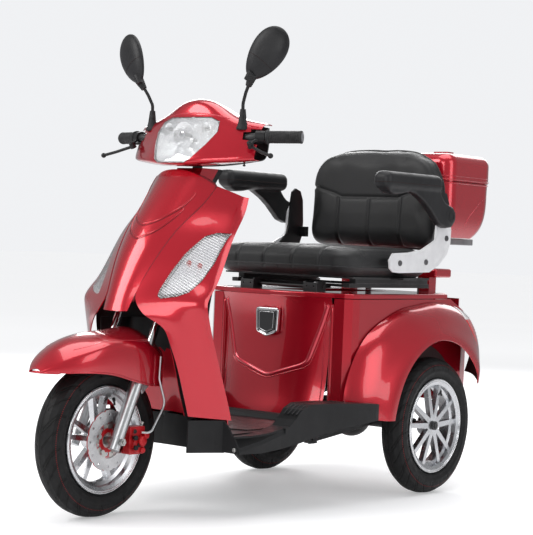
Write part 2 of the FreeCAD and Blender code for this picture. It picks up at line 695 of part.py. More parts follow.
# turn signal outline, (x, z)
SIGNAL = [(190, 747), (168, 748), (150, 738), (128, 690), (113, 640), (104, 598), (104, 580),
          (114, 573), (150, 580), (172, 592), (183, 620), (190, 668)]
SIGNAL_CENTRE = (147, 660)
INNER = [
    [(0, -166, 846), (60, -170, 845), (110, -180, 843), (150, -186, 840), (172, -186, 836)],
    [(0, -190, 770), (60, -193, 770), (110, -205, 768), (155, -232, 762), (189, -255, 755)],
    [(0, -222, 690), (60, -226, 690), (110, -240, 688), (158, -272, 682), (198, -296, 676)],
    [(0, -246, 610), (60, -250, 610), (110, -268, 610), (160, -308, 610), (206, -338, 608)],
    [(0, -258, 520), (60, -264, 520), (112, -288, 520), (164, -336, 520), (211, -362, 518)],
    [(0, -256, 430), (60, -262, 430), (114, -284, 430), (166, -318, 430), (215, -338, 428)],
    [(0, -244, 345), (60, -248, 345), (116, -262, 345), (170, -288, 345), (219, -308, 344)],
    [(0, -226, 268), (60, -228, 268), (118, -238, 268), (172, -262, 268), (222, -279, 268)],
    [(0, -220, 227), (60, -222, 227), (118, -232, 227), (172, -255, 227), (223, -273, 227)],
]
# wheel arch liner: z, and how far the section has changed from bottom to top
LINER = [(267, 0.0), (330, 0.25), (400, 0.5), (470, 0.8), (512, 1.0)]
LOCK_X, LOCK_Z = 70, 775


def shifted_end(row, dx, dy):
    x, y, z = row[-1]
    return row[:-1] + [(x + dx, y + dy, z)]


def apron_center_panel():
    """Stops 3 mm short of the side panels."""
    rows = [row[:3] for row in APRON] + [CENTRE_END]
    return thick(full([shifted_end(row, -3, 0) for row in rows]), PANEL)


def apron_side():
    """The left side panel with its outer edge turned back, and the two layers of its lamp."""
    rows = [[V(*p) for p in row] for row in [row[2:] for row in APRON] + LEG]
    for row in rows:
        row.append(row[-1] + V(6, 16, -2))
    panel = thick(rows, PANEL)
    lamp = panel.common(prism(SIGNAL, "xz", -520, -220))
    panel = panel.cut(prism(scaled(SIGNAL, SIGNAL_CENTRE, 1.02, 1.015), "xz", -520, -220))
    back = lamp.copy()
    back.translate(V(-6, 10, 0))
    back = back.common(prism(scaled(SIGNAL, SIGNAL_CENTRE, 0.9, 0.9, -7), "xz", -520, -200))
    return panel, lamp, back


def ignition_key():
    shank = Part.makeCylinder(5.9, 20, V(LOCK_X, -203, LOCK_Z), Y)
    return shank.fuse(box(68.8, 71.2, -184, -158, 764, 786, 1.0))


def legshield_inner():
    """The panel towards the rider with its lock, and a U in plan behind the front wheel."""
    panel = thick(full([shifted_end(row, -9, 1) for row in INNER]), PANEL)
    panel = panel.cut(Part.makeCylinder(13.2, 60, V(LOCK_X, -240, LOCK_Z), Y))
    lock = Part.makeCylinder(13, 34, V(LOCK_X, -218, LOCK_Z), Y)
    lock = lock.cut(Part.makeCylinder(6.0, 30, V(LOCK_X, -204, LOCK_Z), Y))
    rows = []
    for z, k in LINER:
        side_x, front_y = 160 - 40 * k, -384 - 50 * k
        rows.append([(0, -318, z), (50, -320, z), (98, -328, z), (side_x - 22, -345 - 8 * k, z),
                     (side_x - 10, (-345 + front_y) / 2 - 8 * k, z), (side_x - 8, front_y, z)])
    return panel, lock, thick(full(rows), 2.0)


save("apron_center_panel", apron_center_panel())
side_panel, signal, signal_back = apron_side()
save("apron_side_left", side_panel)
save("apron_side_right", mirrored(side_panel))
save("turn_signals", *(both(signal) + both(signal_back)))
save("ignition_key", ignition_key())
save("legshield_inner", *legshield_inner())

# ---------------------------------------------------------------- floor
# footboard wing side profiles (y, z) and plans (x, y): outside, and the hollow beneath
WING_PROFILE = [
    (-308, 174), (-222, 172), (-145, 178), (-70, 190), (0, 206), (80, 219), (237, 238),
    (237, 284), (221, 285.5), (74, 292.5), (-34, 293.5), (-67, 280), (-92, 254), (-114, 236),
    (-152, 227.5), (-191, FLOOR_Z), (-232, 219), (-308, 218)]
HOLLOW_PROFILE = [
    (-303, 150), (-303, 213.5), (-232, 214.5), (-191, 217.5), (-152, 223), (-112, 231),
    (-96, 247), (-71, 273), (-36, 288.5), (74, 287.5), (215, 281), (215, 150)]
WING_PLAN = [
    (236, -302), (282, -308), (289, -222), (293, -145), (302, -70), (312, 0), (325, 80),
    (336, 150), (345, 225), (345, 237), (236, 237)]
HOLLOW_PLAN = [
    (241, -303), (277, -303), (284, -222), (288, -145), (297, -70), (307, 0), (320, 80),
    (330, 150), (337, 215), (241, 215)]
# sections (x, z) of the slope that trims the wing's outer edge, front and rear
SLOPE_FRONT = [(258, 226), (258, 217), (284, 174), (310, 174), (310, 226)]
SLOPE_REAR = [(286, 238), (286, 234), (296, 214), (310, 214), (310, 238)]
# cut at the rear of the wing, (x, y)
WING_REAR_CUT = [(150, 150), (258, 158), (266, 164), (288, 176), (309, 206), (322, 240),
                 (150, 240)]
# front edge of the tray in plan (x, y), outwards, and the wall's rear face, inwards
FRONT_LINE = [(0, -292), (120, -298), (166, -386), (172, -388), (190, -358), (209, -326),
              (226, -302)]
FRONT_IN = [(222, -298), (205, -322), (186, -353), (171, -379), (168, -379), (124, -292),
            (0, -286)]
TRAY_REAR = [(240, -303), (240, 160), (178, 160), (127, 142), (64, 132), (0, 129)]
CORNER = [(218, 174), (218, 257), (225, 256), (238, 245), (259, 215), (281, 178), (281, 174)]
RIDGE = [(98, FLOOR_Z - 1), (106, 231), (114, 237), (123, 240), (128, 239), (128, FLOOR_Z - 1)]
MAT = [(0, -216), (140, -214), (176, -208), (212, -190), (222, -60), (222, 40), (0, 40)]
SPINE = [V(0, -300, 700), V(0, -292, 560), V(0, -286, 400), V(0, -280, 262), V(0, -240, 200),
         V(0, -160, RAIL_Z)]


def wing():
    hollow = prism(HOLLOW_PROFILE, "yz", 190, 360)
    body = prism(WING_PROFILE, "yz", 200, 360).common(prism(WING_PLAN, "xy", 150, 340))
    body = body.cut(hollow.common(prism(HOLLOW_PLAN, "xy", 150, 340)))
    slope = [closed([V(x, y, z) for x, z in section])
             for y, section in ((-312, SLOPE_FRONT), (-130, SLOPE_REAR))]
    body = body.cut(Part.makeLoft(slope, True, True))
    return body.cut(prism(WING_REAR_CUT, "xy", 150, 340))


def floor_tray():
    tray = prism(sym(FRONT_LINE + TRAY_REAR), "xy", FLOOR_Z - 5, FLOOR_Z)
    wall = prism(FRONT_LINE + FRONT_IN, "xy", 172, 257)
    for part in (wall, prism(CORNER, "xz", -307, -302), wing()):
        tray = tray.fuse(part).fuse(mirrored(part))
    tray = tray.fuse(prism(RIDGE, "yz", -236, 236))
    for i in range(4):
        x = 252 + i * 13.5
        rib = pipe([V(x, -84, 266), V(x + 1, -50, 290), V(x + 4, 20, 291.5),
                    V(x + 13, 118, 289.5)], 2.2, 60)
        tray = tray.fuse(rib).fuse(mirrored(rib))
    tray = tray.cut(pipe(SPINE[1:], 19, 60))
    return max(tray.Solids, key=lambda solid: solid.Volume)   # drops loose offcuts


save("floor_tray", floor_tray())
save("floor_mat", prism(sym(MAT), "xy", FLOOR_Z + 0.2, FLOOR_Z + 3.2))

# ---------------------------------------------------------------- frame
HEAD_Z0, HEAD_Z1 = -400, -215        # head tube ends on the steering axis
HEAD_BORE_R = 19
CUP_H = 14
# cross tubes, (y, z)
CROSS_TUBES = [(-215, RAIL_Z), (-20, RAIL_Z), (150, RAIL_Z), (300, UPPER_RAIL_Z),
               (660, UPPER_RAIL_Z), (840, UPPER_RAIL_Z)]
PIVOT_PLATE = [(150, 200), (214, 262), (244, 262), (240, 150), (204, 150)]     # (y, z)


def main_frame():
    head = placed(column_rod(HEAD_Z0, HEAD_Z1, 24).cut(
        column_rod(HEAD_Z0 - 10, HEAD_Z1 + 10, HEAD_BORE_R)))
    spine = pipe(SPINE, 17, 60)
    frame = head.fuse(spine.cut(placed(column_rod(-500, HEAD_Z1 + 10, HEAD_BORE_R))))
    for side in SIDES:
        x = side * RAIL_X
        frame = frame.fuse(pipe([V(x, -252, RAIL_Z), V(x, 165, RAIL_Z), V(x, 262, UPPER_RAIL_Z),
                                 V(x, 846, UPPER_RAIL_Z)], 13, 60))
    for y, z in CROSS_TUBES:
        frame = frame.fuse(x_rod(-133, 133, y, z, 12))
    for side in SIDES:
        # uprights, the bearers on top of them, and plates at the suspension pivot
        x = side * RAIL_X
        frame = frame.fuse(rod(V(x, 292, UPPER_RAIL_Z), V(x, 240, 556), 12))
        frame = frame.fuse(rod(V(x, 690, UPPER_RAIL_Z), V(x, 690, 556), 12))
        frame = frame.fuse(box_at(x, 14, 200, 720, 548, 574))
        frame = frame.fuse(prism(PIVOT_PLATE, "yz", side * 128 - 3, side * 128 + 3))
    # the cross bar that holds the shock tops, its posts, and bearer extensions to the rear
    frame = frame.fuse(box_at(0, 174, 522, 548, 473, 493))
    for side in SIDES:
        x = side * RAIL_X
        frame = frame.fuse(rod(V(x, 540, UPPER_RAIL_Z), V(x, 540, 480), 10))
        frame = frame.fuse(box_at(x, 12, 700, 830, 556, 572))
    frame = frame.cut(x_rod(-160, 160, PIVOT_Y, PIVOT_Z, 8.0 + RUN))
    # flat pads under the floor rails
    for side in SIDES:
        x = side * RAIL_X
        frame = frame.fuse(box_at(x, 25, -60, 20, 170, 178))
        frame = frame.fuse(box_at(x, 6, -55, 15, 176, 190))
    return frame


def head_cup(z0):
    z1 = z0 + CUP_H
    return placed(column_rod(z0, z1, HEAD_BORE_R).cut(
        column_rod(z0 - 1, z1 + 1, STEERER_R + RUN)))


frame = main_frame()
save("main_frame", frame, head_cup(HEAD_Z0), head_cup(HEAD_Z1 - CUP_H))

# ---------------------------------------------------------------- rear axle and shocks
SWING_ARM_X, SWING_ARM_HALF = 112, 9
SHOCK_X, SHOCK_Y, SHOCK_Z = 158.0, 600, 252      # lower shock eye
SHOCK_DIR = V(0, -(SHOCK_Z - PIVOT_Z), SHOCK_Y - PIVOT_Y).normalize()
SPRING_SEAT_R = 25
# swing arm outline, (y, z)
SWING_ARM = [(PIVOT_Y, PIVOT_Z - 14), (PIVOT_Y, PIVOT_Z + 14), (REAR_Y, TYRE_R + 16),
             (REAR_Y, TYRE_R - 16)]


def shock_rod(side, start, end, radius):
    """A rod on the shock's axis, between distances from the lower eye."""
    eye = V(side * SHOCK_X, SHOCK_Y, SHOCK_Z)
    return rod(eye + SHOCK_DIR * start, eye + SHOCK_DIR * end, radius)


def shock_eye(side, distance):
    centre = V(side * SHOCK_X, SHOCK_Y, SHOCK_Z) + SHOCK_DIR * distance
    return rod(centre - V(12, 0, 0), centre + V(12, 0, 0), 11)


def rear_axle_unit():
    """Axle housing, motor, swing arms and shock rods in one piece."""
    unit = x_rod(-200, 200, REAR_Y, TYRE_R, 24)
    ball = Part.makeSphere(62, V(30, REAR_Y, TYRE_R))
    unit = unit.fuse(ball.common(box(-30, 90, REAR_Y - 62, REAR_Y + 62, TYRE_R - 62, TYRE_R + 58)))
    unit = unit.fuse(x_rod(-105, -20, REAR_Y, TYRE_R, 55))
    for side in SIDES:
        for x0, x1, radius in ((200, 262, 15), (262, 341, REAR_AXLE_R), (330.4, 338, 13)):
            unit = unit.fuse(x_rod(side * x0, side * x1, REAR_Y, TYRE_R, radius))
        lo, hi = side * SWING_ARM_X - SWING_ARM_HALF, side * SWING_ARM_X + SWING_ARM_HALF
        unit = unit.fuse(prism(SWING_ARM, "yz", lo, hi))
        unit = unit.fuse(x_rod(lo, hi, PIVOT_Y, PIVOT_Z, 16))
    unit = unit.fuse(x_rod(-136, 136, PIVOT_Y, PIVOT_Z, 8.0))
    for side in SIDES:
        unit = unit.fuse(box_at(side * SHOCK_X, 9, 560, 612, 204, 246))
        unit = unit.fuse(shock_eye(side, 0))
        unit = unit.fuse(shock_rod(side, 0, 128, 5.0))
        unit = unit.fuse(shock_rod(side, 12, 17, SPRING_SEAT_R))
    return unit


def shock_body(side):
    bore_r = 14.5
    body = shock_rod(side, 100, 205, 18).cut(shock_rod(side, 90, 196, bore_r))
    seat = shock_rod(side, 98, 103, SPRING_SEAT_R).cut(shock_rod(side, 90, 110, bore_r))
    return body.fuse(seat).fuse(shock_eye(side, 214)).cut(frame)


def shock_spring(side):
    coil_r = 20
    helix = Part.makeHelix(14.2, 71, coil_r)
    section = Part.Wire([Part.makeCircle(2.8, V(coil_r, 0, 0), V(0, 1, 0.12))])
    spring = Part.Wire(helix.Edges).makePipeShell([section], True, True)
    base = V(side * SHOCK_X, SHOCK_Y, SHOCK_Z) + SHOCK_DIR * 20.2
    spring.Placement = FreeCAD.Placement(base, FreeCAD.Rotation(Z, SHOCK_DIR))
    return spring


def power_pack():
    """Two by two cells, with a flat unit on top."""
    blocks = [box(-80, 80, 330, 470, 466, 496, 4, along(Z))]
    for x0, x1 in ((-98, -8), (8, 98)):
        for y in (318, 430):
            blocks.append(box(x0, x1, y, y + 98, 330, 462, 4, along(Z)))
    return blocks


save("rear_axle_unit", rear_axle_unit())
save("shock_bodies", *[shock_body(side) for side in SIDES])
save("shock_springs", *[shock_spring(side) for side in SIDES])
save("power_pack", *power_pack())

# ---------------------------------------------------------------- rear bodywork
BOX_TOP_Z = 578
# middle of the seat box front, (z, y)
BOX_FRONT = [(BOX_TOP_Z, 156), (560, 162), (500, 166), (420, 162), (347, 157), (290, 148),
             (246, 137), (227, 134)]
# (x, z)
BEZEL_OUT = [(-39, 538), (39, 538), (36, 470), (0, 457), (-36, 470)]
BEZEL_IN = [(-33, 533), (33, 533), (30, 474), (0, 463), (-30, 474)]
PADDLE = [(-32, 532), (32, 532), (29, 475), (0, 464), (-29, 475)]
# body shell in plan (x, y), from the front corner to the rear middle
SHELL_OUT = [(201.5, 197), (206, 192), (240, 194), (258, 212), (262, 240), (262, 800),
             (252, 842), (226, 866), (180, 874), (0, 876)]
SHELL_IN = [(201.5, 200.5), (207, 195.2), (238.5, 197), (255, 213.5), (259, 240.5), (259, 799),
            (249.4, 840), (224.6, 863), (180, 871), (0, 873)]
SLOPE = [(724, BOX_TOP_Z), (850, 520), (876, 449)]            # upper rear corner, (y, z)
TAIL_LAMP = [(728, 575.5), (849, 519.5), (874, 449.5), (868, 447), (843, 514), (724, 570)]
# rear fender (angle, radius) about the axle; the angle is from the front, over the top, in radians
LIP = [(.11, 236), (.35, 234), (.73, 239), (1.10, 246), (1.53, 256), (2.00, 261), (2.45, 264),
       (2.56, 262.5), (2.63, 247), (2.76, 228)]
CREST = [(.11, 372), (.228, 389.6), (.43, 392), (.71, 389.8), (1.07, 361), (1.50, 352.8),
         (1.85, 375), (2.20, 412), (2.33, 420), (2.50, 392), (2.62, 320), (2.76, 250)]
FENDER_ANGLES = (0.11, 0.24, 0.42, 0.62, 0.82, 1.04, 1.28, 1.52, 1.74, 1.94, 2.12, 2.28, 2.42,
                 2.54, 2.64)
# x, and the share of the way from lip to crest
FENDER_SECTION = ((346, 0.0), (345, 0.12), (338, 0.25), (328, 0.40), (314, 0.62), (298, 0.80),
                  (281, 0.93), (264.5, 1.0))
FENDER_FRONT_CUT = [(90, 293), (170, 293), (240, 240), (240, 200), (90, 200)]     # (y, z)
# seat box deck in plan (x, y)
DECK = [(0, 158), (120, 166), (205, 190), (240, 194), (258, 214), (262, 240), (262, 708),
        (254, 722), (210, 723), (204, 730), (204, 792), (196, 800), (0, 800)]
DECK_TOP_Z = 592
POST_X, POST_Y, POST_R = 100, 804, 10            # trunk carrier posts
HINGE_X = 117                                    # seat hinge brackets


def seat_box_front():
    """The front panel and the bezel round the latch paddle."""
    rows = []
    for z, y in BOX_FRONT:
        depth = BOX_TOP_Z - z
        w = 199 - depth * 0.048
        rows.append([(0, y, z), (w * 0.35, y + 3.5, z), (w * 0.7, y + 14, z),
                     (w, y + 33 + depth * 0.02, z)])
    panel = thick(full(rows), PANEL).cut(box(-14, 14, 130, 200, 486, 510))
    bezel = prism(BEZEL_OUT, "xz", 148, 158).cut(prism(BEZEL_IN, "xz", 146, 154))
    return panel, bezel.cut(panel).fuse(box(-12, 12, 153, 178, 488, 508))


def latch_paddle():
    front_y = 143

    def on_front(edge):
        bounds = edge.BoundBox
        return abs(bounds.YMin - front_y) < 1e-3 and abs(bounds.YMax - front_y) < 1e-3
    return fillet_some(prism(PADDLE, "xz", front_y, 152.7), 3, on_front)


def rear_body_shell():
    outline = side_to_side(SHELL_OUT) + list(reversed(side_to_side(SHELL_IN)))
    shell = Part.Face(closed([V(x, y, 0) for x, y in outline])).extrude(V(0, 0, 328))
    shell.translate(V(0, 0, 248))
    shell = shell.cut(box(-300, 300, 330, 790, 200, 292))
    corner = SLOPE + [(900, 449), (900, 600), (724, 600)]
    for side in SIDES:
        shell = shell.cut(prism(corner, "yz", *sorted((side * 206, side * 280))))
    return shell


def interpolate(table, a):
    if a <= table[0][0]:
        return table[0][1]
    for (a0, r0), (a1, r1) in zip(table, table[1:]):
        if a <= a1:
            return r0 + (r1 - r0) * (a - a0) / (a1 - a0)


def rear_fender():
    rows = []
    for a in FENDER_ANGLES:
        lip, crest = interpolate(LIP, a), interpolate(CREST, a)
        row = []
        for x, share in FENDER_SECTION:
            r = lip + (crest - lip) * share
            y, z = REAR_Y - r * math.cos(a), TYRE_R + r * math.sin(a)
            row.append(V(x, min(y, 866), max(z, 232)))
        rows.append(row)
    fender = thick(rows, PANEL).cut(box(250, 264.0, 100, 900, 200, 700))
    return fender.cut(prism(FENDER_FRONT_CUT, "yz", 230, 272))


def seat_deck():
    """The deck with an opening, and a raised block on two legs at the rear."""
    deck = fillet_some(
        prism(sym(DECK), "xy", 578.3, DECK_TOP_Z), 6,
        lambda e: starts_at_z(DECK_TOP_Z)(e) and e.BoundBox.ZLength < 1e-3)
    deck = deck.cut(box(-92, 92, 262, 640, 570, 600))
    block = box(-200, 200, 735, 828, 640, 668, 7)
    for side in SIDES:
        block = block.fuse(box_at(side * 150, 18, 748, 788, 590, 642))
    deck = deck.fuse(block)
    for side in SIDES:
        x = side * POST_X
        deck = deck.cut(rod(V(x, POST_Y, 560), V(x, POST_Y, 700), POST_R + 0.2))
    return deck


def hinge_bracket(side):
    """A tray with two cheeks and a front wall, drilled for the hinge pin and two screws."""
    x = side * HINGE_X
    bracket = box_at(x, 24, 196, 236, 592.2, 597)
    bracket = bracket.fuse(box(x - 24, x - 19, 196, 236, 595, 622))
    bracket = bracket.fuse(box(x + 19, x + 24, 196, 236, 595, 622))
    bracket = bracket.fuse(box_at(x, 24, 192, 196.5, 592.2, 618))
    bracket = bracket.cut(x_rod(x - 40, x + 40, SEAT_PIVOT_Y, SEAT_PIVOT_Z, 5.0 + RUN))
    for dx in (-13, 13):
        bracket = bracket.cut(Part.makeCylinder(2.6, 20, V(x + dx, 186, 608), Y))
    return bracket


def trunk_carrier():
    """A plate on two posts from the frame, with gussets and four holes."""
    carrier = box(-130, 130, 752, 1062, 745, 766, 3, along(Y))
    gusset = [(804, 700), (960, 748), (960, 750), (790, 750)]
    for side in SIDES:
        x = side * POST_X
        carrier = carrier.fuse(rod(V(x, POST_Y, 572.2), V(x, POST_Y, 748), POST_R))
        carrier = carrier.fuse(prism(gusset, "yz", x - 3, x + 3))
    for y in (860, 960):
        for x in (-60, 60):
            carrier = carrier.cut(rod(V(x, y, 700), V(x, y, 800), 3.3))
    return carrier


save("seat_box_front", *seat_box_front())
save("latch_paddle", latch_paddle())
body_shell = rear_body_shell()
save("rear_body_shell", body_shell)
fender_left = rear_fender()
save("rear_fender_left", fender_left)
save("rear_fender_right", mirrored(fender_left))
save("tail_lamps", *both(prism(TAIL_LAMP, "yz", 207, 258.5).cut(body_shell)))
save("seat_box_deck", seat_deck(), *[hinge_bracket(side) for side in SIDES])
save("trunk_carrier", trunk_carrier())

# ---------------------------------------------------------------- trunk
# half width, front y, rear y, corner radius, outer z, inner z
TRUNK = [
    (176, 800, 1000, 40, 767, 771),
    (190, 794, 1034, 45, 800, 802),
    (198, 790, 1054, 48, 860, 860),
    (198, 790, 1060, 48, 944, 944.5),
]
KNUCKLE_W, KNUCKLE_R = 16, 4.4
HINGE_PIN_R = 2.0


def rounded_rectangle(x, y0, y1, z, r):
    """A wire from -x to x and y0 to y1, with corners of radius r."""
    k = r * (1 - math.sqrt(0.5))
    corners = [(-x, y0, 1, 1), (x, y0, -1, 1), (x, y1, -1, -1), (-x, y1, 1, -1)]
    arcs = []
    for i, (cx, cy, sx, sy) in enumerate(corners):
        a, b = V(cx, cy + sy * r, z), V(cx + sx * r, cy, z)
        if i % 2:
            a, b = b, a
        arcs.append((a, V(cx + sx * k, cy + sy * k, z), b))
    edges = []
    for i, (a, middle, b) in enumerate(arcs):
        edges.append(Part.Arc(a, middle, b).toShape())
        edges.append(Part.makeLine(b, arcs[(i + 1) % 4][0]))
    return Part.Wire(edges)


def knuckle(x):
    return x_rod(x, x + KNUCKLE_W, LID_Y, LID_Z, KNUCKLE_R)


def trunk_base():
    outside = [rounded_rectangle(x, y0, y1, z, r) for x, y0, y1, r, z, _ in TRUNK]
    inside = [rounded_rectangle(x - PANEL, y0 + PANEL, y1 - PANEL, z, r - PANEL)
              for x, y0, y1, r, _, z in TRUNK]
    base = Part.makeLoft(outside, True, False).cut(Part.makeLoft(inside, True, False))
    for x in (-110, 94):
        hinge = knuckle(x).fuse(box(x, x + KNUCKLE_W, LID_Y - KNUCKLE_R, 788.6, 930, LID_Z))
        base = base.fuse(hinge.fuse(box(x, x + KNUCKLE_W, 788, 792, 930, 943)))
    base = base.cut(x_rod(-130, 130, LID_Y, LID_Z, HINGE_PIN_R + RUN))
    return base.cut(Part.makeCylinder(12.2, 40, V(0, 1030, 912), Y))


def lid_block(inset, bottom):
    half, top = 199 - inset, 1034 - inset
    block = box(-half, half, 789 + inset, 1061 - inset, bottom, top, 46 - inset, along(Z))
    return fillet_some(block, 34 - inset, starts_at_z(top))


def trunk_lid():
    """The lid with its hinge knuckles and pins, and two flat pads on top."""
    lid = lid_block(0, 946).cut(lid_block(PANEL, 940))
    for x in (-93.5, 77.5):
        leaf = box(x, x + KNUCKLE_W, LID_Y, 792, LID_Z - 3, LID_Z + 9)
        lid = lid.fuse(knuckle(x).fuse(leaf))
    for x0, x1 in ((-110, -78), (78, 110)):
        lid = lid.fuse(x_rod(x0, x1, LID_Y, LID_Z, HINGE_PIN_R))
    for side in SIDES:
        x = side * 118
        lid = lid.fuse(box(x - 26, x + 26, 860, 900, 1033, 1041, 3.5, along(Z)))
    return lid


save("trunk_base", trunk_base())
save("trunk_lid", trunk_lid())
save("trunk_lock", Part.makeCylinder(12, 30, V(0, 1036, 912), Y))

# ---------------------------------------------------------------- seat
RUNNER_X, RUNNER_HALF = 207, 11
# half outline of the backrest, (x, z), from the top middle to the bottom middle
BACKREST = [(0, 1040), (60, 1040), (115, 1037), (165, 1026), (205, 1002), (232, 963), (244, 920),
            (247, 870), (247, 825), (245, 785), (237, 752), (221, 731), (195, 721), (150, 718.5),
            (75, 718.2), (0, 718.2)]
# side bracket plates, (y, z)
OUTER_PLATE = [
    (344, 692), (348, 668), (366, 657), (400, 655), (560, 659), (610, 680), (656, 716),
    (672, 748), (674, 790), (662, 838), (640, 858), (608, 854), (592, 828), (590, 794),
    (586, 756), (548, 740), (514, 726), (445, 716), (362, 712)]
INNER_PLATE = [
    (352, 690), (356, 672), (400, 663), (556, 667), (604, 688), (652, 726), (668, 756),
    (670, 800), (664, 870), (650, 898), (624, 906), (606, 894), (600, 860), (596, 790),
    (584, 758), (552, 730), (514, 718), (370, 706)]
PLATE_BOLTS = [(398, 684), (538, 689), (647, 763)]
# armrest, (y, z)
ARM_PLATE = [
    (400, 893), (428, 889), (475, 868), (512, 845), (538, 824), (566, 802), (600, 793),
    (632, 797), (650, 815), (652, 840), (634, 858), (600, 866), (582, 878), (562, 900),
    (556, 925), (400, 925)]
ARM_UNDERSIDE = [(284, 905), (296, 890), (318, 882), (352, 884), (400, 892), (520, 900),
                 (520, 925), (284, 925)]


def seat_hinge_frame():
    """The hinge pin with its knuckles, two runners and two cross bars."""
    hinge = x_rod(-146, 146, SEAT_PIVOT_Y, SEAT_PIVOT_Z, 5.0)
    for side in SIDES:
        x = side * HINGE_X
        hinge = hinge.fuse(x_rod(x - 16, x + 16, SEAT_PIVOT_Y, SEAT_PIVOT_Z, 8))
        hinge = hinge.fuse(box_at(x, 12, 222, 300, 608, 616))
        hinge = hinge.fuse(box_at(side * RUNNER_X, RUNNER_HALF, 246, 668, 608, 620))
    return hinge.fuse(box_at(0, 216, 284, 304, 608, 616)).fuse(
        box_at(0, 216, 600, 620, 608, 616))


def seat_slider_frame():
    """The seat plate on its runners, with a tongue on each side."""
    plate = box_at(0, 236, 236, 640, 634, 639)
    for side in SIDES:
        plate = plate.fuse(box_at(side * RUNNER_X, RUNNER_HALF, 276, 660, 620.4, 634.5))
    for side in SIDES:
        plate = plate.fuse(box(*sorted((side * 230, side * 281.5)), 430, 500, 634, 639))
    return plate


def seat_cushion():
    block = box(-271, 271, 166, 648, 639.5, 716, 70, along(Z))
    return fillet_some(block, 26, lambda e: not along(Z)(e))


def backrest_cushion():
    left = [V(x, 648, z) for x, z in BACKREST]
    right = [V(-x, 648, z) for x, z in reversed(BACKREST[1:-1])]
    curve = Part.BSplineCurve()
    curve.interpolate(left + right, True)
    block = Part.Face(Part.Wire([curve.toShape()])).extrude(V(0, 72, 0))
    return fillet_some(block, 24, lambda e: e.BoundBox.YLength < 1e-3)


def seat_side_brackets():
    """On each side an outer and an inner plate, and three bolts through the outer one."""
    outer = prism(OUTER_PLATE, "yz", 282, 287)
    inner = prism(INNER_PLATE, "yz", 276, 281.8)
    outer = outer.cut(x_rod(270, 300, ARM_Y, ARM_Z, 6 + RUN))
    inner = inner.fuse(box(249, 276.2, 652, 664, 752, 784))
    bolts = []
    for y, z in PLATE_BOLTS:
        outer = outer.cut(x_rod(270, 300, y, z, 5.05))
        bolts += both(x_rod(282.0, 287.0, y, z, 5).fuse(x_rod(287.0, 290.0, y, z, 8.5)))
    return both(outer) + both(inner) + bolts


def armrest():
    """The left armrest: plate, underside, pad, pivot pin and the boss over it."""
    def lower_side_edge(edge):
        bounds = edge.BoundBox
        return bounds.ZMax < 903 and not along(Y)(edge) and bounds.XLength < 1
    plate = prism(ARM_PLATE, "yz", 290.5, 316)
    pad = box(262, 322, 272, 572, 894, 949, 21)
    underside = fillet_some(prism(ARM_UNDERSIDE, "yz", 272, 314), 8, lower_side_edge)
    arm = plate.fuse(underside).fuse(pad)
    arm = arm.fuse(x_rod(282.0, 292, ARM_Y, ARM_Z, 6))
    return arm.fuse(x_rod(313, 319, ARM_Y, ARM_Z, 22))


save("seat_hinge_frame", seat_hinge_frame())
save("seat_slider_frame", seat_slider_frame())
save("seat_cushion", seat_cushion())
save("backrest_cushion", backrest_cushion())
save("seat_side_brackets", *seat_side_brackets())
armrest_left = armrest()
save("armrest_left", armrest_left)
save("armrest_right", mirrored(armrest_left))

# screws at the front corners of the footboard
save("body_screws", *[rod(V(side * 265, -307.3, 184), V(side * 265, -310.5, 184), 5.5)
                      for side in SIDES])
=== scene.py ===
"""Looks of a three-wheeled mobility scooter.

Frame units are metres, +Z is up and the front wheel leads towards -Y, so the rider's left is +X.
The CAD parts are the fixed frame. Soft goods, grips, armrest skins and small trim are built here
and ride on CAD bodies. Places given to pos() are in millimetres from the middle of the wheelbase;
radii, lifts and material distances are in metres.
"""

import math
import bpy
import bmesh
import numpy as np
from mathutils import Vector, Matrix
from mathutils.bvhtree import BVHTree

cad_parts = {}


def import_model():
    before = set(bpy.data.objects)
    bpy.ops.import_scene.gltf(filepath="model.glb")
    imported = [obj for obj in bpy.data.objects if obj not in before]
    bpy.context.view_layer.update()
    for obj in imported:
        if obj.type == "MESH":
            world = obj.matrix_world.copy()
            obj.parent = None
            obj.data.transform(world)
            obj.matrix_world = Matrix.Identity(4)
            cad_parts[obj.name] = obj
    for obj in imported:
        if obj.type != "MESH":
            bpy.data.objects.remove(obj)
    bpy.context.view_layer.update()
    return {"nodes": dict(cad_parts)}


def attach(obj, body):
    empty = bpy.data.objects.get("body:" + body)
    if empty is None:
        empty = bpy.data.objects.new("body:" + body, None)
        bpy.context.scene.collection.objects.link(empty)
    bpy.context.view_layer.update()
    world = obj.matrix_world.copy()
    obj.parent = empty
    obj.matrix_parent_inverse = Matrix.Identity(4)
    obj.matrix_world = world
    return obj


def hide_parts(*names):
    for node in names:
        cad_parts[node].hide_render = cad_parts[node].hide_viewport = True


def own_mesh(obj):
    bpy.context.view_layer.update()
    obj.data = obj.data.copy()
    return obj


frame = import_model()
NODES = frame["nodes"]
COLLECTION = bpy.context.scene.collection

OY = -0.1437                      # middle of the wheelbase along Y, metres
AXLE_Y, AXLE_Z = 551.5, 203.0     # axles from the middle of the wheelbase and above ground, mm
REAR_X = 304.0                    # rear wheel centres from the centre line, mm
REAR_Y = AXLE_Y / 1000 + OY
FRONT_Y = -AXLE_Y / 1000 + OY
HUB_Z = AXLE_Z / 1000

# tyre node, wheel body, wheel centre in metres
WHEELS = [
    ("front_tyre", "front_wheel", (0.0, FRONT_Y, HUB_Z)),
    ("rear_tyre_left", "rear_wheel_l", (REAR_X / 1000, REAR_Y, HUB_Z)),
    ("rear_tyre_right", "rear_wheel_r", (-REAR_X / 1000, REAR_Y, HUB_Z)),
]
SIDES = ((1, "left"), (-1, "right"))   # sign of X, name
TO_REAR = (0, 1, 0)                    # ray directions
DOWN = (0, 0, -1)


def pos(x, y, z):
    """A point in design millimetres, as metres in the frame."""
    return Vector((x / 1000.0, y / 1000.0 + OY, z / 1000.0))


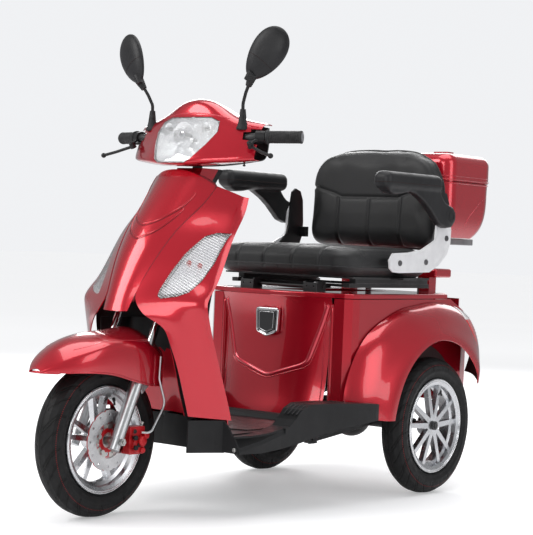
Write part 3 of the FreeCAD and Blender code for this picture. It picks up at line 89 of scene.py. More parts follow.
# ------------------------------------------------------------------ material graphs
class Graph:
    """A material under construction; every method returns an output socket."""

    INPUTS = {"color": "Base Color", "metal": "Metallic", "rough": "Roughness",
              "coat": "Coat Weight", "coat_rough": "Coat Roughness", "normal": "Normal",
              "ior": "IOR", "spec": "Specular IOR Level", "trans": "Transmission Weight",
              "sheen": "Sheen Weight", "emit": "Emission Color", "emit_s": "Emission Strength"}

    def __init__(self, name):
        self.material = bpy.data.materials.new(name)
        self.material.use_nodes = True
        self.tree = self.material.node_tree
        self.shader = next(n for n in self.tree.nodes if n.type == "BSDF_PRINCIPLED")
        self.output = next(n for n in self.tree.nodes if n.type == "OUTPUT_MATERIAL")
        self.coords = self.node("ShaderNodeTexCoord").outputs["Object"]

    def node(self, kind, **settings):
        node = self.tree.nodes.new(kind)
        for key, value in settings.items():
            setattr(node, key, value)
        return node

    def put(self, socket, value):
        """Links a socket or sets a value; three-part colours get full alpha."""
        if isinstance(value, bpy.types.NodeSocket):
            self.tree.links.new(value, socket)
        elif socket.type == "RGBA" and len(value) == 3:
            socket.default_value = tuple(value) + (1.0,)
        else:
            socket.default_value = value

    def calc(self, operation, *values, clamp=False):
        node = self.node("ShaderNodeMath", operation=operation, use_clamp=clamp)
        for socket, value in zip(node.inputs, values):
            self.put(socket, value)
        return node.outputs[0]

    def add(self, a, b):
        return self.calc("ADD", a, b)

    def sub(self, a, b):
        return self.calc("SUBTRACT", a, b)

    def mul(self, a, b):
        return self.calc("MULTIPLY", a, b)

    def sine(self, value, rate):
        return self.calc("SINE", self.mul(value, rate))

    def ripple(self, value, pitch):
        return self.sine(value, 2 * math.pi / pitch)

    def span(self, value, from_low, from_high, to_low, to_high):
        node = self.node("ShaderNodeMapRange")
        self.put(node.inputs[0], value)
        for i, limit in enumerate((from_low, from_high, to_low, to_high)):
            node.inputs[i + 1].default_value = limit
        return node.outputs[0]

    def rise(self, value, start, end):
        return self.span(value, start, end, 0, 1)

    def fall(self, value, start, end):
        return self.span(value, start, end, 1, 0)

    def window(self, value, rise_start, rise_end, fall_start, fall_end):
        return self.mul(self.rise(value, rise_start, rise_end),
                        self.fall(value, fall_start, fall_end))

    def noise(self, scale, detail=2.0, rough=0.5, vector=None):
        node = self.node("ShaderNodeTexNoise")
        self.put(node.inputs["Vector"], vector or self.coords)
        node.inputs["Scale"].default_value = scale
        node.inputs["Detail"].default_value = detail
        node.inputs["Roughness"].default_value = rough
        return node.outputs[0]

    def drift(self, low=0, high=1, scale=10, detail=2.0, rough=0.5):
        """Noise stretched to wander between low and high."""
        return self.span(self.noise(scale, detail, rough), 0.3, 0.7, low, high)

    def voronoi(self, scale, feature="F1", vector=None):
        node = self.node("ShaderNodeTexVoronoi", feature=feature)
        self.put(node.inputs["Vector"], vector or self.coords)
        node.inputs["Scale"].default_value = scale
        return node.outputs[0]

    def mix(self, factor, a, b):
        node = self.node("ShaderNodeMix", data_type="RGBA")
        for index, value in ((0, factor), (6, a), (7, b)):
            self.put(node.inputs[index], value)
        return node.outputs[2]

    def bump(self, height, strength, distance):
        node = self.node("ShaderNodeBump")
        self.put(node.inputs["Height"], height)
        node.inputs["Strength"].default_value = strength
        node.inputs["Distance"].default_value = distance
        return node.outputs[0]

    def facing(self, blend):
        node = self.node("ShaderNodeLayerWeight")
        node.inputs["Blend"].default_value = blend
        return node

    def xyz(self):
        node = self.node("ShaderNodeSeparateXYZ")
        self.put(node.inputs[0], self.coords)
        return tuple(node.outputs)

    def edge_tint(self, color, radius, amount, edge_color):
        """The given edge colour on sharp convex edges, found from the bevelled normal against the
        true one.
        """
        bevel = self.node("ShaderNodeBevel", samples=4)
        bevel.inputs["Radius"].default_value = radius
        geometry = self.node("ShaderNodeNewGeometry")
        dot = self.node("ShaderNodeVectorMath", operation="DOT_PRODUCT")
        self.put(dot.inputs[0], bevel.outputs[0])
        self.put(dot.inputs[1], geometry.outputs["Normal"])
        edge = self.calc("SUBTRACT", 1.0, dot.outputs["Value"], clamp=True)
        return self.mix(self.calc("MULTIPLY", edge, amount, clamp=True), color, edge_color)

    def finish(self, **values):
        for key, value in values.items():
            self.put(self.shader.inputs[self.INPUTS[key]], value)
        return self.material


def tinted(color, factor):
    return [min(1, channel * factor) for channel in color]


def red_lacquer(name, deep, bright):
    g = Graph(name)
    base = g.mix(g.facing(0.35).outputs["Facing"], bright, deep)
    flake = g.voronoi(2600.0)
    cloud = g.mul(g.noise(scale=3.2, detail=3), 0.08)
    return g.finish(color=g.mix(cloud, base, (0.70, 0.03, 0.06)), metal=0.48,
                    rough=g.drift(0.22, 0.27, scale=9),
                    normal=g.bump(flake, strength=0.015, distance=0.0002),
                    coat=1.0, coat_rough=g.drift(0.02, 0.05, scale=8), ior=1.5)


RED = red_lacquer("red_lacquer", deep=(0.23, 0.0006, 0.006), bright=(0.60, 0.004, 0.020))
# A lighter, pinker copy of the red lacquer: painted highlight for creases, ridges and mouldings
# that catch the light.
RED_HIGHLIGHT = red_lacquer("red_lacquer_painted_highlight", deep=(0.28, 0.003, 0.010), bright=(0.66, 0.020, 0.045))


def plastic(name, dark, light, rough, grain=1500.0, depth=0.16, edge_color=(0.13, 0.13, 0.135)):
    g = Graph(name)
    color = g.mix(g.drift(scale=9, detail=4), dark, light)
    height = g.add(g.noise(grain), g.mul(g.voronoi(grain * 0.55), 0.6))
    return g.finish(color=g.edge_tint(color, radius=0.0018, amount=0.35, edge_color=edge_color),
                    rough=g.drift(rough - 0.06, rough + 0.08, scale=40, detail=3),
                    normal=g.bump(height, strength=depth, distance=0.0003), spec=0.30)


BLACK = plastic("black_plastic", dark=(0.008, 0.008, 0.009), light=(0.015, 0.015, 0.016),
                rough=0.38)
MIRROR_BLACK = plastic("mirror_black", dark=(0.013, 0.013, 0.014), light=(0.022, 0.022, 0.024),
                       rough=0.42, grain=2100, depth=0.14)
FLOOR = plastic("floor_charcoal", dark=(0.008, 0.008, 0.009), light=(0.015, 0.015, 0.016),
                rough=0.44, grain=1100, depth=0.18, edge_color=(0.06, 0.06, 0.065))
FOAM = plastic("integral_foam", dark=(0.012, 0.012, 0.013), light=(0.022, 0.022, 0.0235),
               rough=0.44, grain=1700)
CASE = plastic("battery_case", dark=(0.03, 0.03, 0.035), light=(0.05, 0.05, 0.055), rough=0.55)
GREY = plastic("grey_plastic", dark=(0.16, 0.16, 0.17), light=(0.24, 0.24, 0.25),
               rough=0.45, grain=1300, depth=0.12, edge_color=(0.4, 0.4, 0.41))


def gloss_black():
    g = Graph("gloss_black")
    color = g.edge_tint((0.006, 0.006, 0.007), radius=0.002, amount=0.5, edge_color=(0.16, 0.16, 0.17))
    return g.finish(color=color, rough=g.drift(0.05, 0.12, scale=30, detail=4),
                    coat=1.0, coat_rough=0.03,
                    normal=g.bump(g.noise(scale=90, detail=3), strength=0.02, distance=0.001))


GLOSS = gloss_black()


def metal(name, dark, light, rough, grain, depth, stretch=(1, 1, 1), metallic=1.0):
    """rough is the range that the stretched grain moves the roughness through."""
    g = Graph(name)
    scaled = g.node("ShaderNodeVectorMath", operation="MULTIPLY")
    g.put(scaled.inputs[0], g.coords)
    scaled.inputs[1].default_value = stretch
    fine = g.noise(grain, detail=4, rough=0.6, vector=scaled.outputs[0])
    color = g.mix(g.drift(scale=24, detail=4), dark, light)
    return g.finish(color=g.edge_tint(color, radius=0.0015, amount=0.4, edge_color=(0.9, 0.9, 0.9)),
                    metal=metallic, rough=g.span(fine, 0.3, 0.7, *rough),
                    normal=g.bump(fine, strength=depth, distance=0.0004))


RIM = metal("rim_silver", dark=(0.58, 0.59, 0.61), light=(0.68, 0.69, 0.71),
            rough=(0.24, 0.32), grain=40, depth=0.004)
CHROME = metal("chrome", dark=(0.80, 0.81, 0.83), light=(0.88, 0.88, 0.89),
               rough=(0.04, 0.09), grain=120, depth=0.01)
SATIN = metal("satin_alloy", dark=(0.58, 0.59, 0.60), light=(0.68, 0.69, 0.70),
              rough=(0.26, 0.40), grain=700, depth=0.10, stretch=(1, 1, 0.08))
ZINC = metal("zinc_steel", dark=(0.48, 0.48, 0.47), light=(0.62, 0.61, 0.58),
             rough=(0.26, 0.42), grain=500, depth=0.08)
DISC = metal("ground_steel", dark=(0.50, 0.50, 0.51), light=(0.64, 0.64, 0.65),
             rough=(0.22, 0.36), grain=900, depth=0.10, stretch=(0.1, 1, 1))
FRAME_BLACK = metal("black_powder_coat", dark=(0.016, 0.016, 0.017), light=(0.030, 0.030, 0.031),
                    rough=(0.38, 0.52), grain=1400, depth=0.18, metallic=0.0)
GREY_METAL = metal("grey_paint_metal", dark=(0.20, 0.20, 0.205), light=(0.28, 0.28, 0.285),
                   rough=(0.34, 0.46), grain=800, depth=0.10, metallic=0.35)
WHITE = metal("white_powder_coat", dark=(0.74, 0.74, 0.755), light=(0.84, 0.84, 0.85),
              rough=(0.30, 0.44), grain=1300, depth=0.16, metallic=0.0)
RED_METAL = metal("red_paint_metal", dark=(0.42, 0.006, 0.010), light=(0.58, 0.012, 0.018),
                  rough=(0.28, 0.42), grain=900, depth=0.12, metallic=0.25)
BOLT_GREY = metal("bolt_grey", dark=(0.09, 0.09, 0.095), light=(0.16, 0.16, 0.165),
                  rough=(0.30, 0.45), grain=700, depth=0.1, metallic=0.8)
# A dark copy of the body red: painted shade for the insides of the rear wheel arches.
ARCH = plastic("arch_painted_shade_red", dark=(0.030, 0.010, 0.011), light=(0.060, 0.016, 0.018),
               rough=0.60, grain=900, depth=0.3)


def leather(name, dark, light):
    g = Graph(name)
    jitter = g.node("ShaderNodeTexNoise")
    g.put(jitter.inputs["Vector"], g.coords)
    jitter.inputs["Scale"].default_value = 220.0
    small = g.node("ShaderNodeVectorMath", operation="SCALE")
    g.put(small.inputs[0], jitter.outputs[1])
    small.inputs["Scale"].default_value = 0.0014
    moved = g.node("ShaderNodeVectorMath", operation="ADD")
    g.put(moved.inputs[0], g.coords)
    g.put(moved.inputs[1], small.outputs[0])
    cells = g.voronoi(820.0, feature="DISTANCE_TO_EDGE", vector=moved.outputs[0])
    grain = g.rise(cells, 0.0, 0.12)
    wrinkles = g.noise(scale=26, detail=5, rough=0.6)
    color = g.mix(g.drift(scale=7, detail=4), dark, light)
    # Painted shade: darker in the valleys between the grain cells.
    color = g.mix(g.span(grain, 0, 1, 0.45, 0), color, (0.003, 0.003, 0.003))
    height = g.add(g.mul(grain, 0.5), g.mul(wrinkles, 1.6))
    return g.finish(color=color, rough=g.drift(0.36, 0.52, scale=15, detail=4),
                    normal=g.bump(height, strength=0.32, distance=0.0007), spec=0.5, sheen=0.04)


LEATHER = leather("black_leatherette", dark=(0.006, 0.006, 0.0065), light=(0.013, 0.013, 0.014))
PIPING = leather("piping_leatherette", dark=(0.014, 0.014, 0.015), light=(0.026, 0.026, 0.027))


def thread(name, color):
    g = Graph(name)
    twist = g.node("ShaderNodeTexWave", wave_type="BANDS", bands_direction="DIAGONAL")
    g.put(twist.inputs["Vector"], g.coords)
    twist.inputs["Scale"].default_value = 900.0
    bands = twist.outputs[1]
    return g.finish(color=g.mix(bands, color, tinted(color, 0.45)), rough=0.7,
                    normal=g.bump(bands, strength=0.5, distance=0.0002))


THREAD = thread("stitch_thread", (0.035, 0.035, 0.037))


def grip_rubber():
    g = Graph("grip_rubber")
    color = g.mix(g.drift(scale=60, detail=4), (0.010, 0.010, 0.011), (0.026, 0.026, 0.027))
    height = g.add(g.noise(scale=1200), g.mul(g.noise(scale=90, detail=3), 0.4))
    return g.finish(color=color, rough=g.drift(0.52, 0.70, scale=50, detail=3),
                    normal=g.bump(height, strength=0.22, distance=0.0004), spec=0.4)


RUBBER = grip_rubber()


def floor_mat_rubber():
    """Fine raised lines, in blocks, with a faint red tint."""
    g = Graph("floor_mat_rubber")
    x, y, _ = g.xyz()
    lines = g.ripple(x, pitch=0.0062)
    blocks = g.ripple(g.add(y, g.mul(g.calc("ABSOLUTE", x), 0.35)), pitch=0.046)
    raised = g.mul(g.rise(lines, -0.1, 0.2), g.rise(blocks, -0.86, -0.80))
    color = g.mix(g.drift(scale=30, detail=4), (0.026, 0.014, 0.015), (0.040, 0.020, 0.021))
    height = g.add(raised, g.mul(g.noise(scale=1400), 0.15))
    # Painted highlight: the raised lines are coloured lighter than the mat between them.
    return g.finish(color=g.mix(raised, color, (0.075, 0.036, 0.038)),
                    rough=g.drift(0.46, 0.62, scale=60, detail=3),
                    normal=g.bump(height, strength=0.7, distance=0.0012))


MAT = floor_mat_rubber()


def clear_lens(name, tint, gloss, ribs=None):
    """Thin clear moulding, glossier at grazing angles; ribs is X, Y, Z weights and a pitch."""
    g = Graph(name)
    see_through = g.node("ShaderNodeBsdfTransparent")
    glossy = g.node("ShaderNodeBsdfGlossy")
    diffuse = g.node("ShaderNodeBsdfDiffuse")
    height = g.noise(scale=40)
    color = g.mix(g.drift(scale=12, detail=3), tint, tinted(tint, 1.03))
    if ribs:
        weight_x, weight_y, weight_z, pitch = ribs
        x, y, z = g.xyz()
        across = g.add(g.mul(x, weight_x), g.add(g.mul(y, weight_y), g.mul(z, weight_z)))
        height = g.add(height, g.mul(g.ripple(across, pitch), 1.35))
    normal = g.bump(height, strength=0.35, distance=0.0010)
    glossy.inputs["Roughness"].default_value = 0.05
    g.put(glossy.inputs["Normal"], normal)
    g.put(see_through.inputs["Color"], color)
    g.put(diffuse.inputs["Color"], color)
    grazing = g.facing(gloss)
    g.put(grazing.inputs["Normal"], normal)
    body = g.node("ShaderNodeMixShader")
    coated = g.node("ShaderNodeMixShader")
    for mixer, parts in ((body, (0.10, see_through.outputs[0], diffuse.outputs[0])),
                         (coated, (grazing.outputs["Facing"], body.outputs[0],
                                   glossy.outputs[0]))):
        for socket, part in zip(mixer.inputs, parts):
            g.put(socket, part)
    g.put(g.output.inputs[0], coated.outputs[0])
    return g.material


HEAD_LENS = clear_lens("headlight_clear", tint=(0.97, 0.975, 0.98), gloss=0.30)
TURN_LENS = clear_lens("turn_lamp_clear", tint=(0.93, 0.93, 0.94), gloss=0.32,
                       ribs=(0.55, 0.0, 1.0, 0.0060))


def tail_lens():
    """Ribbed lens, red below and pale above."""
    g = Graph("tail_lamp")
    z = g.xyz()[2]
    ribs = g.ripple(z, pitch=0.006)
    lower = g.mix(g.noise(scale=50), (0.55, 0.006, 0.010), (0.72, 0.03, 0.035))
    upper = g.mix(g.noise(scale=50), (0.80, 0.72, 0.72), (0.92, 0.90, 0.90))
    return g.finish(color=g.mix(g.rise(z, 0.514, 0.518), lower, upper), rough=0.12,
                    normal=g.bump(ribs, strength=0.35, distance=0.0010),
                    coat=1.0, coat_rough=0.03, spec=0.6)


TAIL = tail_lens()


def lamp_reflector_glow():
    g = Graph("lamp_reflector_glow")
    x, _, z = g.xyz()
    facets = g.add(g.ripple(x, pitch=0.022), g.ripple(z, pitch=0.026))
    color = g.mix(g.noise(scale=30, detail=3), (0.90, 0.91, 0.92), (0.97, 0.97, 0.98))
    return g.finish(color=color, metal=0.75, rough=g.drift(0.12, 0.24, scale=60),
                    normal=g.bump(facets, strength=0.16, distance=0.002),
                    # Emission: a painted glow, so that the unlit reflectors read bright behind the
                    # lenses.
                    emit=(1, 1, 1), emit_s=0.16)


REFLECT_GLOW = lamp_reflector_glow()


def bulb_glass(name, color):
    g = Graph(name)
    return g.finish(color=g.mix(g.noise(scale=200), color, tinted(color, 0.7)),
                    rough=0.10, trans=0.55, ior=1.45, coat=1.0,
                    normal=g.bump(g.noise(scale=300), strength=0.1, distance=0.0005))


BULB = bulb_glass("bulb_glass", (0.92, 0.92, 0.90))
BULB_RED = bulb_glass("bulb_amber_red", (0.80, 0.035, 0.025))


def dull_dark(name, color):
    g = Graph(name)
    return g.finish(color=g.mix(g.noise(scale=90, detail=3), color, tinted(color, 2)), rough=0.8,
                    normal=g.bump(g.noise(scale=600), strength=0.2, distance=0.0003))


GAP = dull_dark("shadow_line", (0.010, 0.004, 0.004))
SHADE_RED = dull_dark("shade_red", (0.10, 0.002, 0.006))
GASKET = dull_dark("gasket_black", (0.010, 0.010, 0.011))


def tyre_rubber(tyre, centre):
    """Swept tread grooves, shoulder ribs, fine rings and one dotted red line on the shoulder."""
    g = Graph("rubber_" + tyre)
    dx, dy, dz = (g.sub(axis, middle) for axis, middle in zip(g.xyz(), centre))
    radius = g.calc("SQRT", g.add(g.mul(dy, dy), g.mul(dz, dz)))
    angle = g.calc("ARCTAN2", dz, dy)
    off = g.calc("ABSOLUTE", dx)
    sweep = g.calc("POWER", g.calc("DIVIDE", off, 0.0385), 1.6)

    tread = g.calc("SINE", g.add(g.mul(angle, 26.0), g.mul(sweep, 7.5)))
    tread_area = g.mul(g.rise(off, 0.0055, 0.0075), g.rise(radius, 0.178, 0.181))
    tread = g.mul(g.rise(tread, 0.80, 0.92), tread_area)
    shoulder = g.calc("SINE", g.add(g.mul(angle, 13.0), g.mul(sweep, 4.0)))
    shoulder = g.mul(g.rise(shoulder, 0.955, 0.985), g.rise(radius, 0.166, 0.170))
    middle = g.mul(g.fall(off, 0.0016, 0.0026), g.rise(radius, 0.19, 0.195))
    depth = g.calc("MAXIMUM", g.calc("MAXIMUM", tread, shoulder), middle)

    knurl = g.mul(g.sine(angle, 420.0), g.window(radius, 0.170, 0.1715, 0.1785, 0.180))
    rings = g.mul(g.ripple(radius, pitch=0.0021),
                  g.window(radius, 0.1455, 0.147, 0.154, 0.1555))
    red_line = g.mul(g.fall(g.calc("ABSOLUTE", g.sub(radius, 0.1815)), 0.0005, 0.0009),
                     g.rise(g.sine(angle, 210.0), -0.1, 0.3))

    color = g.mix(g.drift(scale=40, detail=5, rough=0.6),
                  (0.005, 0.005, 0.0055), (0.011, 0.011, 0.0115))
    # Painted shade: the grooves, which are only a bump, are coloured darker.
    color = g.mix(depth, color, (0.003, 0.003, 0.003))
    color = g.mix(g.mul(red_line, 0.75), color, (0.34, 0.012, 0.015))
    height = g.sub(g.add(g.mul(knurl, 0.10), g.mul(rings, 0.12)), g.mul(depth, 1.6))
    height = g.add(height, g.mul(g.noise(scale=900, detail=3), 0.10))
    return g.finish(color=color, rough=g.drift(0.48, 0.68, scale=70, detail=4),
                    normal=g.bump(height, strength=0.9, distance=0.0022), spec=0.28)


# ------------------------------------------------------------------ materials on the CAD parts
# material, CAD nodes that wear it all over
PLAIN = [
    (RIM, "front_rim rear_rim_left rear_rim_right"),
    (CHROME, "fork_stanchions"),
    (SATIN, "fork_sliders"),
    (ZINC, "front_axle ignition_key shock_springs trunk_lock body_screws"),
    (FRAME_BLACK, "steering_stem handlebar main_frame rear_axle_unit shock_bodies"),
    (FRAME_BLACK, "seat_hinge_frame seat_slider_frame"),
    (RUBBER, "grip_left throttle_grip horn_button"),
    (BLACK, "lever_perches brake_lever_left brake_lever_right mirror_stalks"),
    (BLACK, "handlebar_rear_cover"),
    (RED, "headlight_housing front_fender apron_center_panel apron_side_left"),
    (RED, "apron_side_right rear_body_shell trunk_base trunk_lid"),
    (HEAD_LENS, "headlight_lens"),
    (FLOOR, "floor_tray"),
    (MAT, "floor_mat"),
    (CASE, "power_pack"),
    (GLOSS, "latch_paddle"),
    (TAIL, "tail_lamps"),
    (GREY_METAL, "trunk_carrier"),
    (LEATHER, "seat_cushion backrest_cushion"),
    (FOAM, "armrest_left armrest_right"),
] + [(tyre_rubber(tyre, centre), tyre) for tyre, _, centre in WHEELS]


def dress(obj, materials):
    obj.data.materials.clear()
    for material in materials:
        obj.data.materials.append(material)


def vertex_array(obj):
    flat = np.zeros(len(obj.data.vertices) * 3, np.float32)
    obj.data.vertices.foreach_get("co", flat)
    return flat.reshape(-1, 3).astype(float)


def write_vertices(obj, places):
    obj.data.vertices.foreach_set("co", places.astype(np.float32).ravel())


def solids_of(obj):
    """The separate solid each face belongs to, and the (middle, size) of every solid."""
    _, welded = np.unique(np.round(vertex_array(obj), 6), axis=0, return_inverse=True)
    welded = welded.ravel()
    parent = list(range(int(welded.max()) + 1))

    def find(i):
        while parent[i] != i:
            parent[i] = parent[parent[i]]
            i = parent[i]
        return i

    faces = obj.data.polygons
    for face in faces:
        first, *others = [find(int(welded[v])) for v in face.vertices]
        for other in others:
            parent[find(other)] = first
    labels = [find(int(welded[face.vertices[0]])) for face in faces]
    boxes = {}
    for face, label in zip(faces, labels):
        low, high = boxes.get(label, (face.center.copy(), face.center.copy()))
        boxes[label] = (Vector(map(min, low, face.center)), Vector(map(max, high, face.center)))
    return labels, {key: ((low + high) / 2, high - low) for key, (low, high) in boxes.items()}


def paint_solids(node, materials, choose):
    """choose(middle, size) of a solid gives the index of its material."""
    obj = NODES[node]
    labels, boxes = solids_of(obj)
    picks = {label: choose(*box) for label, box in boxes.items()}
    dress(obj, materials)
    for face, label in zip(obj.data.polygons, labels):
        face.material_index = picks[label]


def paint_faces(node, materials, choose):
    """choose(centre, normal) of a face gives the index of its material."""
    obj = NODES[node]
    dress(obj, materials)
    for face in obj.data.polygons:
        face.material_index = choose(face.center, face.normal)


def disc_face(centre, normal):
    hub = Vector((0, FRONT_Y, HUB_Z))
    radius = math.hypot(centre.y - hub.y, centre.z - hub.z)
    if centre.x > 0.0416 and radius > 0.046:
        return 1 if radius > 0.0735 and abs(normal.x) < 0.5 else 0
    if radius < 0.0305 and centre.x < 0.0379:
        return 2
    if centre.x > 0.0418 and abs(radius - 0.036) < 0.0075:
        return 2
    return 1


def mirror_centre(side):
    return pos(side * 240, -212, 1230)


def mirror_face(side):
    """Picks the round glass, which is turned 15 degrees about Z."""
    middle = mirror_centre(side)
    turn = math.radians(15) * side
    axis = Vector((-math.sin(turn), math.cos(turn), 0))

    def choose(centre, normal):
        depth = (centre - middle).dot(axis)
        return int(0.0022 < depth < 0.0028 and abs(normal.dot(axis)) > 0.9
                   and (centre - middle).length < 0.0775)
    return choose


def arch_face(side):
    """Picks the inward faces of a wheel arch, which are given the painted shade."""
    def choose(centre, normal):
        outward = Vector((side * 0.25, centre.y - REAR_Y, centre.z - HUB_Z))
        return int(outward.dot(normal) < 0 and abs(centre.x) < 0.3455)
    return choose


def legshield_face(centre, normal):
    """Zinc round spot at the key, red low front faces, black elsewhere."""
    if (pos(70, 0, 775) - Vector((centre.x, OY, centre.z))).length < 0.0135:
        return 1
    return 2 if centre.y < -0.20 + OY and centre.z < 0.43 and normal.y < -0.15 else 0


def dress_cad():
    plain = {node: material for material, nodes in PLAIN for node in nodes.split()}
    for name, obj in NODES.items():
        if name in plain:
            dress(obj, [plain[name]])
    paint_faces("brake_disc", [DISC, RED_METAL, ZINC], disc_face)
    paint_solids("seat_side_brackets", [WHITE, BLACK, BOLT_GREY],
                 lambda mid, size: 2 if size.y < 0.02 else int(abs(mid.x) < 0.2818))
    paint_solids("brake_caliper", [RED_METAL, SATIN], lambda mid, size: int(mid.z > 0.24))
    paint_solids("headlight_reflector", [REFLECT_GLOW, BULB], lambda mid, size: int(size.x < 0.02))
    paint_solids("seat_box_front", [RED, CHROME], lambda mid, size: int(size.x < 0.12))
    paint_solids("seat_box_deck", [RED, FRAME_BLACK], lambda mid, size: int(size.x < 0.08))
    depths = sorted({round(mid.y, 5) for mid, _ in solids_of(NODES["turn_signals"])[1].values()})
    halfway = (depths[0] + depths[-1]) / 2
    paint_solids("turn_signals", [TURN_LENS, REFLECT_GLOW],
                 lambda mid, size: int(len(depths) > 1 and mid.y > halfway))
    for side, name in SIDES:
        paint_faces("mirror_" + name, [MIRROR_BLACK, CHROME], mirror_face(side))
        # The inward arch faces get the painted shade.
        paint_faces("rear_fender_" + name, [RED, ARCH], arch_face(side))
    paint_faces("column_cover", [RED, BLACK], lambda centre, normal: int(normal.y > 0.3))
    paint_faces("legshield_inner", [BLACK, ZINC, RED], legshield_face)


dress_cad()


# ------------------------------------------------------------------ mesh helpers
def shade_smooth(mesh):
    for face in mesh.polygons:
        face.use_smooth = True


def new_object(name, verts, faces, material, smooth=True):
    mesh = bpy.data.meshes.new(name)
    mesh.from_pydata([tuple(v) for v in verts], [], faces)
    mesh.materials.append(material)
    obj = bpy.data.objects.new(name, mesh)
    COLLECTION.objects.link(obj)
    if smooth:
        shade_smooth(mesh)
    return obj


def place(obj, body, replaced=None):
    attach(obj, body)
    if replaced:
        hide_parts(replaced)


def piece(name, verts, faces, material, body, smooth=True):
    obj = new_object(name, verts, faces, material, smooth)
    place(obj, body)
    return obj


def ring_quads(rings, seg, closed=False, base=0):
    """Quads between rings of seg vertices each; closed joins the last ring to the first."""
    quads = []
    for i in range(rings if closed else rings - 1):
        here, there = base + i * seg, base + (i + 1) % rings * seg
        for j in range(seg):
            k = (j + 1) % seg
            quads.append((here + j, here + k, there + k, there + j))
    return quads


def ring_cap(ring, seg, base=0):
    return tuple(base + ring * seg + j for j in range(seg))


def cords(name, runs, material, body, slot, radius, closed=False, seg=8):
    """One mesh of round cords along several runs of points, narrowed at open ends."""
    verts, faces = [], []
    for run in runs:
        points = [Vector(p) for p in run]
        count = len(points)
        base = len(verts)
        across = None
        for i, point in enumerate(points):
            before = points[(i - 1) % count] if closed or i > 0 else point
            after = points[(i + 1) % count] if closed or i < count - 1 else point
            along = after - before
            if along.length < 1e-9:
                along = Vector((0, 0, 1))
            along.normalize()
            if across is None:
                across = along.orthogonal().normalized()
            across = across - along * across.dot(along)
            if across.length > 1e-6:
                across = across.normalized()
            else:
                across = along.orthogonal().normalized()
            third = along.cross(across)
            narrow = 0.45 if not closed and i in (0, count - 1) else 1.0
            for j in range(seg):
                angle = 2 * math.pi * j / seg
                spoke = across * math.cos(angle) + third * math.sin(angle)
                verts.append(point + spoke * radius * narrow)
        faces += ring_quads(count, seg, closed, base)
        if not closed:
            faces.append(ring_cap(0, seg, base)[::-1])
            faces.append(ring_cap(count - 1, seg, base))
    piece(name, verts, faces, material, body)


def cord(name, points, material, body, slot, **shape):
    cords(name, [points], material, body, slot, **shape)


def lathe(name, start, end, profile, material, body, seg=40, wave=None):
    """profile of (share of the way, radius); wave(angle, share) scales the radius."""
    start, end = Vector(start), Vector(end)
    axis = end - start
    across = axis.normalized().orthogonal().normalized()
    third = axis.normalized().cross(across)
    verts = []
    for share, radius in profile:
        middle = start + axis * share
        for j in range(seg):
            angle = 2 * math.pi * j / seg
            factor = wave(angle, share) if wave else 1.0
            spoke = across * math.cos(angle) + third * math.sin(angle)
            verts.append(middle + spoke * radius * factor)
    rings = len(profile)
    faces = ring_quads(rings, seg) + [ring_cap(0, seg)[::-1], ring_cap(rings - 1, seg)]
    return piece(name, verts, faces, material, body)


def spline(points, steps=8, closed=False):
    """Points along a smooth curve through the given ones."""
    points = [Vector(p) for p in points]
    count = len(points)
    out = []
    for i in range(count if closed else count - 1):
        p0 = points[(i - 1) % count] if closed or i > 0 else points[i]
        p1, p2 = points[i], points[(i + 1) % count]
        p3 = points[(i + 2) % count] if closed or i + 2 < count else p2
        for j in range(steps):
            t = j / steps
            out.append(0.5 * ((2 * p1) + (p2 - p0) * t + (2 * p0 - 5 * p1 + 4 * p2 - p3) * t * t
                              + (3 * p1 - p0 - 3 * p2 + p3) * t ** 3))
    if not closed:
        out.append(points[-1])
    return out


def relax(points, rounds, closed=False):
    points = [Vector(p) for p in points]
    count = len(points)
    for _ in range(rounds):
        means = [(points[i - 1] + points[i] * 2 + points[(i + 1) % count]) / 4
                 for i in range(count)]
        if not closed:
            means[0], means[-1] = points[0], points[-1]
        points = means
    return points


def resample(outline, step, closed=True):
    """Pairs spaced about one step apart along straight sides."""
    out = []
    ends = outline[1:] + outline[:1] if closed else outline[1:]
    for (x0, z0), (x1, z1) in zip(outline, ends):
        n = max(1, int(math.hypot(x1 - x0, z1 - z0) / step))
        out += [(x0 + (x1 - x0) * i / n, z0 + (z1 - z0) * i / n) for i in range(n)]
    return out if closed else out + [outline[-1]]


def mirrored(half):
    """The +X half of a line of pairs, led by its mirror image."""
    return [(-x, z) for x, z in reversed(half) if x > 0] + half


def circle_yz(centre, radius, count):
    turns = [2 * math.pi * k / count for k in range(count)]
    return [Vector(centre) + Vector((0, radius * math.cos(a), radius * math.sin(a)))
            for a in turns]


def surface_tree(*parts):
    """Ray-casting tree over CAD nodes, given by name, or over objects."""
    verts, faces = [], []
    for part in parts:
        mesh = (NODES[part] if isinstance(part, str) else part).data
        base = len(verts)
        verts += [Vector(v.co) for v in mesh.vertices]
        faces += [[base + i for i in face.vertices] for face in mesh.polygons]
    return BVHTree.FromPolygons(verts, faces)


def onto(tree, points, direction, lift=0.0):
    """Points moved along direction until they meet the surface, then lifted off it."""
    out = []
    direction = Vector(direction).normalized()
    for point in points:
        hit, normal, *_ = tree.ray_cast(Vector(point) - direction * 0.3, direction)
        if hit is not None:
            out.append(hit + (normal if normal.dot(direction) < 0 else -normal) * lift)
    return out


def ray_hits(tree, rays, lift=0.0):
    """Where (origin, direction) rays meet the surface, drawn back by lift."""
    found = [(tree.ray_cast(origin, direction)[0], direction) for origin, direction in rays]
    return [hit - direction * lift for hit, direction in found if hit is not None]


